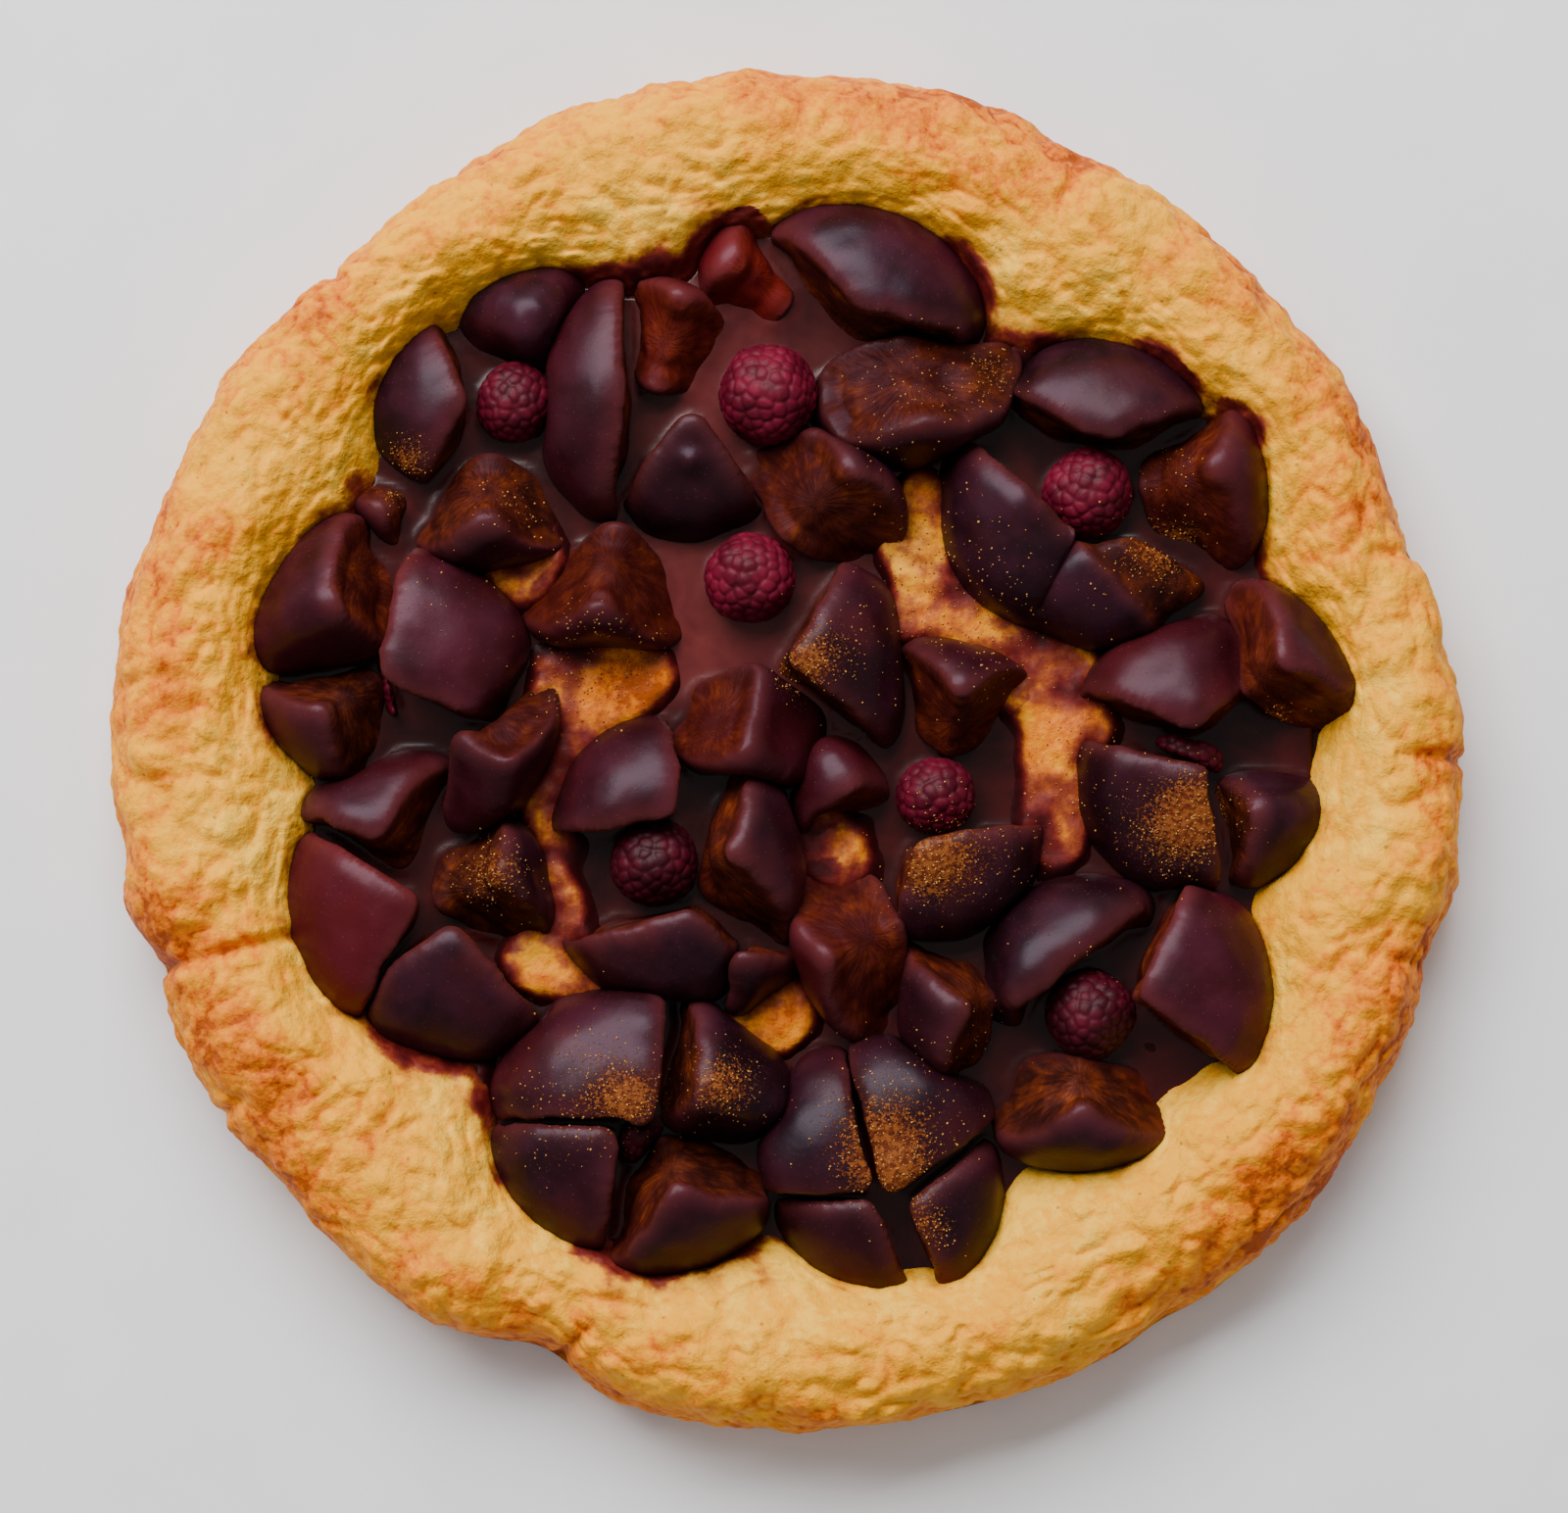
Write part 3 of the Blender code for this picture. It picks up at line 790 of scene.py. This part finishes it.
def fruit_reach(steps, widen, soften):
    """How far out the fruit reaches at each step round the tart, widened and softened in steps."""
    reach = np.zeros(steps)
    for piece in fruit + berries:
        spots = points_of(piece.data)[:, :2] - np.array(TART_SHIFT)
        turn = np.round(np.arctan2(spots[:, 1], spots[:, 0]) / math.tau * steps).astype(int)
        for nearby in range(-widen, widen + 1):
            np.maximum.at(reach, (turn + nearby) % steps, np.linalg.norm(spots, axis=1))
    return np.mean([np.roll(reach, shift) for shift in range(-soften, soften + 1)], axis=0)


def round_the_tart(values, degrees):
    """A list of values round the tart, read at any angle."""
    places = np.linspace(0, 360, len(values) + 1)
    return np.interp(np.asarray(degrees) % 360, places, np.append(values, values[0]))


# %% Bend a grid round
MIDDLE_RINGS, SLOPE_RINGS, WALL_RINGS, SPOKES = 4, 62, 38, 940
RINGS = MIDDLE_RINGS + SLOPE_RINGS + WALL_RINGS
mesh = bmesh.new()
bmesh.ops.create_grid(mesh, x_segments=SPOKES, y_segments=RINGS, size=0.5)
for vert in mesh.verts:
    turn, out = (vert.co.x + 0.5) * math.tau, vert.co.y + 0.5
    vert.co = (out * math.cos(turn), out * math.sin(turn), 0)
bmesh.ops.remove_doubles(mesh, verts=mesh.verts, dist=SAME_PLACE)
foot = [edge for edge in mesh.edges if edge.is_boundary]
bmesh.ops.holes_fill(mesh, edges=foot, sides=0)
bmesh.ops.recalc_face_normals(mesh, faces=mesh.faces)
crust_data = data_of(mesh, "crust_look")
flat = points_of(crust_data)
share = np.round(np.linalg.norm(flat[:, :2], axis=1) * RINGS)
spoke = np.arctan2(flat[:, 1], flat[:, 0])
print("crust points:", len(flat), "faces:", len(crust_data.polygons))

# %% Lift the rings to the rim
angle = np.degrees(spoke)
level = np.column_stack([np.cos(spoke), np.sin(spoke)])
outer = CRUST_RADIUS + bells(angle, RIM_SWELLS) - bells(angle, RIM_FOLDS)
round_the_rim = np.column_stack([level, np.zeros(len(level))]) * 2.2
swell = noise_at(round_the_rim, 1.0, np.array([0, 0, 7.0])) * 0.0018
wide_folds = [(place, size, width * 1.4) for place, size, width in RIM_FOLDS]
top = RIM_HEIGHT + swell - 0.5 * bells(angle, wide_folds)
reach = fruit_reach(360, 2, 4)
inner = round_the_tart(reach, angle) - 0.006
hull = round_the_tart(fruit_reach(120, 3, 3), angle) - 0.009
crest = outer - 0.46 * (outer - hull)
BED = 0.0128
UNDER_THE_BED = BED - 0.0035

on_middle = share <= MIDDLE_RINGS
on_wall = share > MIDDLE_RINGS + SLOPE_RINGS
on_slope = ~(on_middle | on_wall)
up = ((share - MIDDLE_RINGS) / SLOPE_RINGS).clip(0, 1) ** 1.05
down = ((share - MIDDLE_RINGS - SLOPE_RINGS) / WALL_RINGS).clip(0, 1) * math.pi / 2
radius = np.where(on_middle, inner * share / MIDDLE_RINGS, inner + (crest - inner) * up)
height = np.where(on_middle, UNDER_THE_BED, BED + (top - BED) * (1 - (1 - up) ** 2.2))
radius[on_wall] = (crest + (outer - crest) * np.sin(down) ** 0.85)[on_wall]
height[on_wall] = (top * np.cos(down).clip(0) ** 0.62)[on_wall]
points = np.column_stack([level * radius[:, None] + np.array(TART_SHIFT), height])
print("rim top:", round(height.max() * 1000, 1), "mm, outline:", round(radius.max() * 2000, 1), "mm")

# %% [markdown]
# ## Wrinkles and folds
# The wrinkles come in four sizes: broad swells, puffs of about a centimetre, crinkles of a few
# millimetres and ripples finer still. The points are first pushed about by slow noise, so that
# no pattern repeats. A few deep folds are drawn as lines where the real rim has them.

# %% Wrinkle the rim
# Folds from spot to spot, with a depth in mm.
FOLD_LINES = [
    ((120, 1000), (300, 955), 3.0), ((1500, 775), (1425, 772), 2.0), ((322, 262), (352, 292), 1.8),
    ((560, 1400), (600, 1355), 2.2), ((1470, 560), (1400, 566), 1.4), ((190, 1165), (250, 1120), 1.4),
    ((1100, 160), (1085, 215), 1.2), ((118, 700), (170, 690), 1.2), ((1450, 985), (1395, 975), 1.4),
    ((470, 175), (480, 225), 1.0), ((1000, 1440), (985, 1385), 1.2), ((700, 1340), (600, 1320), 1.0),
]
FOLD_HALF_WIDTH = 0.0013


def near_line(points, start, end):
    """How far each point is from a straight line between two spots of the picture."""
    start, end = np.array(on_tart(*start)), np.array(on_tart(*end))
    along = ((points[:, :2] - start) @ (end - start) / ((end - start) @ (end - start))).clip(0, 1)
    return np.linalg.norm(points[:, :2] - start - along[:, None] * (end - start), axis=1)


def warped(points, strength):
    """Points pushed about by slow noise."""
    push = [noise_at(points, 60, shift) for shift in (11.0, 17.0, 23.0)]
    return points + np.column_stack(push) * strength


rim_part = smooth_step(0.0, 0.35, np.where(on_middle, 0, np.where(on_slope, up, 1)))
puffs = np.abs(noise_at(warped(points, 0.004), 62, 31.0)) * 0.0036
crinkles = np.abs(noise_at(warped(points, 0.0025), 175, 41.0)) * 0.0021
ripples = np.abs(noise_at(warped(points, 0.002), 330, 45.0)) * 0.0012
broad = noise_at(points, 26, 7.0) * 0.0016
loose = smooth_step(0.0, 0.004, points[:, 2])
folds = np.zeros(len(points))
for start, end, deep in FOLD_LINES:
    folds += deep * MM * np.exp(-((near_line(points, start, end) / FOLD_HALF_WIDTH) ** 2))
wrinkles = (puffs + crinkles + ripples) * (0.4 + 0.6 * rim_part) - 0.0016
amount = (broad + wrinkles) * loose
folds *= loose
points[:, 2] += (amount - folds) * np.where(on_wall, np.cos(down * 0.8), 1) * ~on_middle
points[:, 2] = points[:, 2].clip(0)
sideways = (broad + wrinkles * 0.45 - 0.0004 - folds * 0.8) * loose
outwards = sideways * np.where(on_wall, np.sin(down), np.where(on_slope, 0.3 * up, 0))
points[:, :2] += level * outwards[:, None]
print("wrinkles:", round(amount.min() * 1000, 2), "to", round(amount.max() * 1000, 2), "mm")

# %% [markdown]
# ## The bed of dough
# Between the plums the dough shows in a few golden islands, and everywhere else it is stained by the
# juice and painted darker still as painted shade of the gaps between the fruit. The bed is a sheet of
# small even squares of its own, because the rings of the rim would be far too coarse here. It ends
# inside the rim's slope, where nobody sees the edge.

# %% Lay the bed and raise its islands
# Where the juice stands deeper.
POOLS = [
    (700, 300, 50, 1.0), (740, 330, 50, 1.0), (700, 400, 50, 0.9), (745, 460, 40, 0.9),
    (760, 260, 60, 0.8), (720, 600, 60, 1.0), (700, 540, 40, 0.9), (750, 650, 60, 1.0),
    (790, 560, 40, 0.8), (850, 440, 40, 0.8), (930, 470, 44, 0.8), (600, 530, 30, 0.5),
    (860, 600, 40, 0.6), (860, 340, 40, 0.5), (690, 690, 30, 0.6),
]


def round_sheet(squares, half_width, level, inset):
    """A flat grid cut round, this far inside the reach of the fruit."""
    mesh = bmesh.new()
    bmesh.ops.create_grid(mesh, x_segments=squares, y_segments=squares, size=half_width)
    bmesh.ops.translate(mesh, vec=(*TART_SHIFT, level), verts=mesh.verts)
    from_middle = [vert.co.xy - TART_SHIFT for vert in mesh.verts]
    turns = [math.degrees(math.atan2(spot.y, spot.x)) for spot in from_middle]
    limits = round_the_tart(reach, turns) - inset
    outside = [vert for vert, spot, most in zip(mesh.verts, from_middle, limits) if spot.length > most]
    bmesh.ops.delete(mesh, geom=outside, context="VERTS")
    return mesh


BED_SQUARES, BED_HALF_WIDTH, BED_INSET = 240, 0.102, 0.003
ISLAND_RISES, BED_SINKS, POOL_SINKS = 0.0026, 0.0005, 0.0014
bed_data = data_of(round_sheet(BED_SQUARES, BED_HALF_WIDTH, BED, BED_INSET), "dough_bed")
bed_points = points_of(bed_data)
wider = [(x, y, size * 1.3, strength) for x, y, size, strength in ISLANDS]
island = np.clip(spot_sum(wider, bed_points), 0, 1) + 0.25 * noise_at(bed_points, 130, 2.0)
island = smooth_step(0.10, 0.70, island)
pool = np.clip(spot_sum(POOLS, bed_points), 0, 1)
swells = noise_at(bed_points, 80, 3.0) * (0.0002 + 0.0004 * island)
lumps = np.abs(noise_at(warped(bed_points, 0.003), 170, 5.0)) * (0.0004 + 0.0007 * island)
crumbs = noise_at(bed_points, 480, 9.0) * 0.0002 * island
bed_points[:, 2] += island * ISLAND_RISES - BED_SINKS - pool * (1 - island) * POOL_SINKS
bed_points[:, 2] += swells + lumps + crumbs
print("bed points:", len(bed_points))

# %% [markdown]
# ## Press the fruit in
# The dough may not pass through the fruit. Above each point of the dough a ray looks for the
# underside of the fruit: where it finds one, the dough gives way a little, so that it hugs the
# side of the fruit without a groove. Where the dough is higher than the fruit's own top it has
# risen over the edge and is left alone.

# %% Fit the dough to the fruit
fruit_tree = all_faces(fruit + berries)
PRESSED_AT_MOST = 0.0006


def press(spots, chosen):
    """Lowers the chosen points under the fruit. Returns how close the fruit is to each, 0 to 1."""
    close = np.zeros(len(spots))
    for index in chosen:
        x, y, z = spots[index]
        under = fruit_tree.ray_cast(Vector((x, y, 0.0)), Vector((0, 0, 1)))
        if under[0] is not None:
            above = fruit_tree.ray_cast(Vector((x, y, 0.08)), Vector((0, 0, -1)))
            if above[0].z > z and under[0].z < z:
                spots[index, 2] = max(under[0].z, z - PRESSED_AT_MOST)
            close[index] = 1
            continue
        near = fruit_tree.find_nearest(Vector((x, y, z)), 0.008)
        if near[0] is not None:
            close[index] = math.exp(-((near[3] / 0.0034) ** 2))
    return close


closeness = press(points, np.nonzero(on_slope)[0])
points[:, 2] += np.where(closeness < 1, closeness * 0.0007, 0)
set_points(crust_data, points)
bed_closeness = press(bed_points, range(len(bed_points)))
set_points(bed_data, bed_points)
print("points of dough under fruit:", int((closeness == 1).sum() + (bed_closeness == 1).sum()))

# %% [markdown]
# ## Baked dough
# Bread browns where it is high and outermost, and stays pale where the fruit kept it moist. One
# value on every point says how far it is baked, with painted shade added in the folds and in the
# valleys of the crinkles and ripples, and a run of colours from gold to dark brown reads it. Fine
# noise breaks the bands up, juice stains it crimson near the fruit, and a few dark specks of bran
# are scattered over it.

# %% How far each spot is baked
BROWNED = [
    (1400, 1100, 70, 0.34), (1330, 1190, 60, 0.40), (1250, 1260, 60, 0.35), (170, 540, 50, 0.34),
    (185, 740, 60, 0.28), (180, 930, 60, 0.35), (330, 1200, 60, 0.35), (270, 1120, 50, 0.25),
    (560, 1390, 70, 0.30), (420, 1310, 60, 0.25), (760, 1430, 80, 0.20), (1050, 1400, 60, 0.18),
    (1470, 800, 60, 0.35), (1440, 1000, 60, 0.35), (1400, 450, 60, 0.26), (1280, 280, 60, 0.24),
    (1080, 150, 60, 0.26), (950, 100, 60, 0.22), (800, 90, 60, 0.14), (430, 220, 40, 0.10),
    (300, 340, 50, 0.10), (620, 690, 60, 0.45), (570, 760, 40, 0.30), (1085, 760, 50, 0.30),
    (1070, 850, 40, 0.25), (940, 480, 30, 0.20), (1250, 585, 36, 0.9), (1345, 250, 60, 0.10),
    (1150, 1330, 50, 0.20),
]
PINK = [
    (430, 1085, 70, 0.9), (480, 1110, 50, 0.7), (560, 1190, 40, 0.3), (640, 1300, 46, 0.45),
    (720, 1320, 46, 0.45), (610, 1270, 40, 0.4), (1050, 345, 40, 0.8), (990, 270, 50, 0.9),
    (1200, 360, 44, 0.9), (1270, 440, 40, 0.8), (730, 250, 60, 1.2), (660, 280, 50, 0.9),
    (600, 300, 40, 0.7), (240, 640, 50, 0.25), (250, 740, 50, 0.35), (370, 540, 40, 0.35),
    (400, 460, 36, 0.3), (960, 480, 30, 0.5), (1080, 700, 60, 0.25), (905, 650, 30, 0.6),
    (300, 480, 60, 0.14), (1060, 660, 40, 0.25), (840, 860, 40, 0.4), (1250, 580, 40, 1.2),
    (780, 1290, 40, 0.5),
]
# How brown the rim's shape makes it.
over = np.where(on_slope, 0.02 + 0.34 * up**1.5, 0.36 + 0.20 * np.sin(down))
patchy = 0.26 * noise_at(points, 28, 61.0)
mottled = 0.22 * noise_at(points, 85, 71.0)
baked = over + spot_sum(BROWNED, points) * 0.65 + patchy + mottled
# Painted shade: the folds here, and the valleys of the crinkles and ripples below, are made browner.
baked += 70 * np.clip(amount, -0.001, 0.002) * (rim_part - 0.4) + 60 * folds
baked += 0.22 * smooth_step(0.0004, 0.0, crinkles) + 0.12 * smooth_step(0.0002, 0.0, ripples)
spills = spot_sum(PINK, points).clip(0, 1)
pink = spills * (0.22 + 0.44 * closeness**0.7) + 0.22 * closeness * smooth_step(0.028, 0.018, points[:, 2])
pink = np.clip(pink + 0.10 * noise_at(points, 150, 81.0) * (pink > 0.02), 0, 0.55)
store(crust_data, "baked", baked)
store(crust_data, "pink", pink)
store(crust_data, "wet", np.clip(closeness + 0.6 * pink, 0, 1) * (1 - 0.7 * rim_part))

bed_baked = 0.68 + spot_sum(BROWNED, bed_points) * 0.8 + 0.35 * noise_at(bed_points, 70, 63.0)
# Juice stain, plus painted shade: all the bed outside the islands is made dark.
bed_stain_and_gap_shade = 0.24 + 0.8 * (1 - island) + 0.22 * bed_closeness + 0.26 * spot_sum(PINK, bed_points)
bed_stain_and_gap_shade += 0.26 * noise_at(bed_points, 95, 83.0)
store(bed_data, "baked", bed_baked)
store(bed_data, "pink", np.clip(bed_stain_and_gap_shade, 0.05, 1))
store(bed_data, "wet", np.clip(0.7 - 0.3 * island, 0, 1))
print("baked from", round(baked.min(), 2), "to", round(baked.max(), 2))

# %% Dough finish
dough_finish, tree, shader = new_finish("baked dough")
where = object_place(tree)
baked_and_crease_shade, pink_value, wet = attribute(tree, "baked"), attribute(tree, "pink"), attribute(tree, "wet")
mottle = centred(tree, speckle(tree, where, 130, 5, 0.6))
grain = centred(tree, speckle(tree, where, 620, 3, 0.6))
# The baked value carries browning and, on the rim, painted shade in the folds and crinkle valleys.
value = plus(tree, plus(tree, baked_and_crease_shade, mottle, 1.15), grain, 0.7)
crumb = ramp(tree, value, [
    (0.00, (246, 184, 52)),
    (0.20, (240, 164, 24)),
    (0.40, (238, 160, 8)),
    (0.58, (233, 143, 3)),
    (0.76, (220, 119, 2)),
    (0.90, (204, 98, 4)),
    (1.00, (166, 72, 6)),
])
stain = between(tree, plus(tree, pink_value, mottle, 0.9), 0.05, 1.0)
stained = ramp(tree, stain, [
    (0.00, (196, 118, 50)),
    (0.25, (146, 68, 34)),
    (0.50, (102, 28, 25)),
    (0.72, (60, 11, 14)),
    (0.95, (40, 7, 9)),
])
crumb = blend(tree, between(tree, stain, 0.02, 0.38), crumb, stained)
bran = between(tree, dots(tree, where, 190), 0.10, 0.045)
crumb = blend(tree, part_of(tree, bran, 0.55), crumb, colour(120, 66, 30))
plug(tree, crumb, shader.inputs["Base Color"])
dullness = plus(tree, plus(tree, 0.62, grain, 0.3), wet, -0.36)
plug(tree, dullness, shader.inputs["Roughness"])
shader.inputs["Specular IOR Level"].default_value = 0.12
dryness = without(tree, stain, 0.9)
lumps_of_crumb = part_of(tree, speckle(tree, where, 260, 4, 0.6), dryness)
blisters = raised(tree, lumps_of_crumb, 1.2 * MM, 0.9)
pits = part_of(tree, speckle(tree, where, 1100, 3, 0.6), dryness)
plug(tree, raised(tree, pits, 0.16 * MM, 0.7, blisters), shader.inputs["Normal"])
crust = add_piece(crust_data, dough_finish, "dough", "crust")
bed = add_piece(bed_data, dough_finish, "dough")
give_thickness(bed, thickness=0.004)
print("crust triangles:", sum(len(face.vertices) - 2 for face in crust_data.polygons))

# %% [markdown]
# ## Juice
# The plums let their juice go, and it settled between them as a thin glossy sheet. It is a flat
# grid, cut round, that lies level just over the low bed of the dough and climbs a little where it
# touches fruit, as any liquid does. Solidify gives it a closed edge.

# %% Juice finish
juice_finish, tree, shader = new_finish("plum juice")
where = object_place(tree)
swirl = speckle(tree, where, 70, 3, 0.6, 0.6)
# Painted shade: outside the pools the juice is painted near black, the shade of the gaps between the fruit.
deep = ramp(tree, swirl, [(0.3, (30, 5, 7)), (0.7, (64, 14, 14))])
thin = ramp(tree, swirl, [(0.3, (70, 20, 24)), (0.7, (98, 38, 36))])
plug(tree, blend(tree, attribute(tree, "pool"), deep, thin), shader.inputs["Base Color"])
plug(tree, plus(tree, 0.16, swirl, 0.12), shader.inputs["Roughness"])
shader.inputs["Specular IOR Level"].default_value = 0.25
plug(tree, raised(tree, speckle(tree, where, 150, 2), 0.3 * MM, 0.5), shader.inputs["Normal"])

# %% Pour the juice
JUICE_LEVEL = 0.0129
JUICE_SQUARES, JUICE_HALF_WIDTH, JUICE_INSET = 200, 0.1, 0.004
CLIMB, CLIMB_WIDTH = 0.0004, 0.0009
mesh = round_sheet(JUICE_SQUARES, JUICE_HALF_WIDTH, JUICE_LEVEL, JUICE_INSET)
for vert in mesh.verts:
    near = fruit_tree.find_nearest(vert.co, 0.006)
    climb = math.exp(-((near[3] / CLIMB_WIDTH) ** 2)) if near[0] is not None else 0.0
    ripple = noise.noise(vert.co * 45) * 0.0002
    vert.co.z += CLIMB * climb + ripple
juice_data = data_of(mesh, "juice")
# Juice in the pools keeps its own colour; the rest gets the painted shade colour.
store(juice_data, "pool", np.clip(spot_sum(POOLS, points_of(juice_data)), 0, 1))
juice = add_piece(juice_data, juice_finish, "plum")
give_thickness(juice, thickness=0.0006)
print("juice faces:", len(juice_data.polygons))

# %% [markdown]
# ## Cinnamon and sugar
# The powder itself is a colour in the plums' finish. Its coarser grains catch the light, so they
# are real chips a third of a millimetre long. A ray dropped at each place finds what the grain
# lands on, and all the grains are joined into one piece.

# %% Grain finish
grain_finish, tree, shader = new_finish("cinnamon sugar")
where = object_place(tree)
kind = between(tree, speckle(tree, where, 1500, 1), 0.42, 0.58)
plug(tree, blend(tree, kind, colour(108, 46, 10), colour(200, 138, 58)), shader.inputs["Base Color"])
plug(tree, plus(tree, 0.45, kind, 0.2), shader.inputs["Roughness"])

# %% Scatter the grains
crust_tree = all_faces([crust, bed])
dusty = CINNAMON + [
    (600, 680, 50, 0.5), (640, 670, 36, 0.5), (1000, 620, 90, 0.25), (1080, 780, 60, 0.2),
    (950, 540, 50, 0.2),
]
GRAINS, GRAIN_SIZE = 4200, 0.00036
LEAST_SLOPE = 0.25        # a normal's z: no grain stays where it is steeper
chances = np.random.default_rng(11)
weights = np.array([strength * radius**2 for x, y, radius, strength in dusty])
picks = chances.choice(len(weights), size=GRAINS, p=weights / weights.sum())
mesh = bmesh.new()
bmesh.ops.create_cube(mesh, size=1)
chip = data_of(mesh, "chip")
grains = bmesh.new()
for pick in picks:
    x, y, radius, strength = dusty[pick]
    spot = on_tart(*(np.array([x, y]) + chances.normal(size=2) * radius * 0.62))
    start, down_ray = Vector((*spot, 0.08)), Vector((0, 0, -1))
    hits = [below.ray_cast(start, down_ray) for below in (fruit_tree, crust_tree)]
    landed = [hit for hit in hits if hit[0]]
    if not landed:
        continue
    place, normal = max(landed, key=lambda hit: hit[0].z)[:2]
    if normal.z < LEAST_SLOPE or place.z < JUICE_LEVEL + 0.0003:
        continue
    size = Vector(chances.uniform(0.4, 1.0, 3)) * GRAIN_SIZE * chances.uniform(0.5, 1.1)
    turn = Quaternion(chances.normal(size=4)).normalized().to_matrix().to_4x4()
    move = Matrix.Translation(place + normal * 0.00004) @ turn @ Matrix.Diagonal((*size, 1))
    chip.transform(move)
    grains.from_mesh(chip)
    chip.transform(move.inverted())
grain_data = data_of(grains, "cinnamon_grains")
add_piece(grain_data, grain_finish, "plum")
print("grains:", len(grain_data.vertices) // 8)

# %% [markdown]
# ## Light, floor and camera
# The camera looks almost straight down, as over a table, a little from the near side. A wide soft
# lamp hangs over the far left and the pale surroundings fill the shadows.

# %% Stage
floor_finish, tree, shader = new_finish("pale floor")
paper = speckle(tree, object_place(tree), 40, 3)
pale = ramp(tree, paper, [(0.3, (238, 238, 240)), (0.7, (243, 243, 244))])
plug(tree, pale, shader.inputs["Base Color"])
shader.inputs["Roughness"].default_value = 0.85
mesh = bmesh.new()
bmesh.ops.create_grid(mesh, x_segments=1, y_segments=1, size=3)
floor_data = data_of(mesh, "floor")
floor_data.materials.append(floor_finish)
floor = new_object("floor", floor_data)
floor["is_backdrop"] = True

lamp_data = bpy.data.lights.new("window", "AREA")
lamp_data.shape = "RECTANGLE"
lamp_data.size, lamp_data.size_y = 1.6, 1.0
lamp_data.energy = 60
lamp = new_object("window", lamp_data)
lamp.location = (-0.40, 1.05, 1.2)
lamp.rotation_euler = (-Vector(lamp.location)).to_track_quat("-Z", "Y").to_euler()

surroundings = bpy.data.worlds.new("bright room")
surroundings.use_nodes = True
background = surroundings.node_tree.nodes["Background"]
background.inputs["Color"].default_value = (1.0, 1.0, 1.0, 1)
background.inputs["Strength"].default_value = 0.36
bpy.context.scene.world = surroundings

# %% Camera
ELEVATION, DISTANCE = math.radians(86.75), 0.80
aim = Vector((*on_tart(800, 772), 0.019))
eye_data = bpy.data.cameras.new("eye")
eye_data.sensor_width = 36
eye_data.lens = eye_data.sensor_width * DISTANCE / (PICTURE_WIDTH * PIXEL)
eye = new_object("eye", eye_data)
eye.location = aim + Vector((0, -math.cos(ELEVATION), math.sin(ELEVATION))) * DISTANCE
eye.rotation_euler = (math.pi / 2 - ELEVATION, 0, 0)
bpy.context.scene.camera = eye

# %% [markdown]
# ## Finish
# The dressed tart must fill the same box as the imported one, so both boxes are written down.

# %% Print both boxes
box_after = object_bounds()
for title, box in (("cad box:", box_before), ("visual box:", box_after)):
    print(title, [[round(v * 1000, 1) for v in corner] for corner in box])
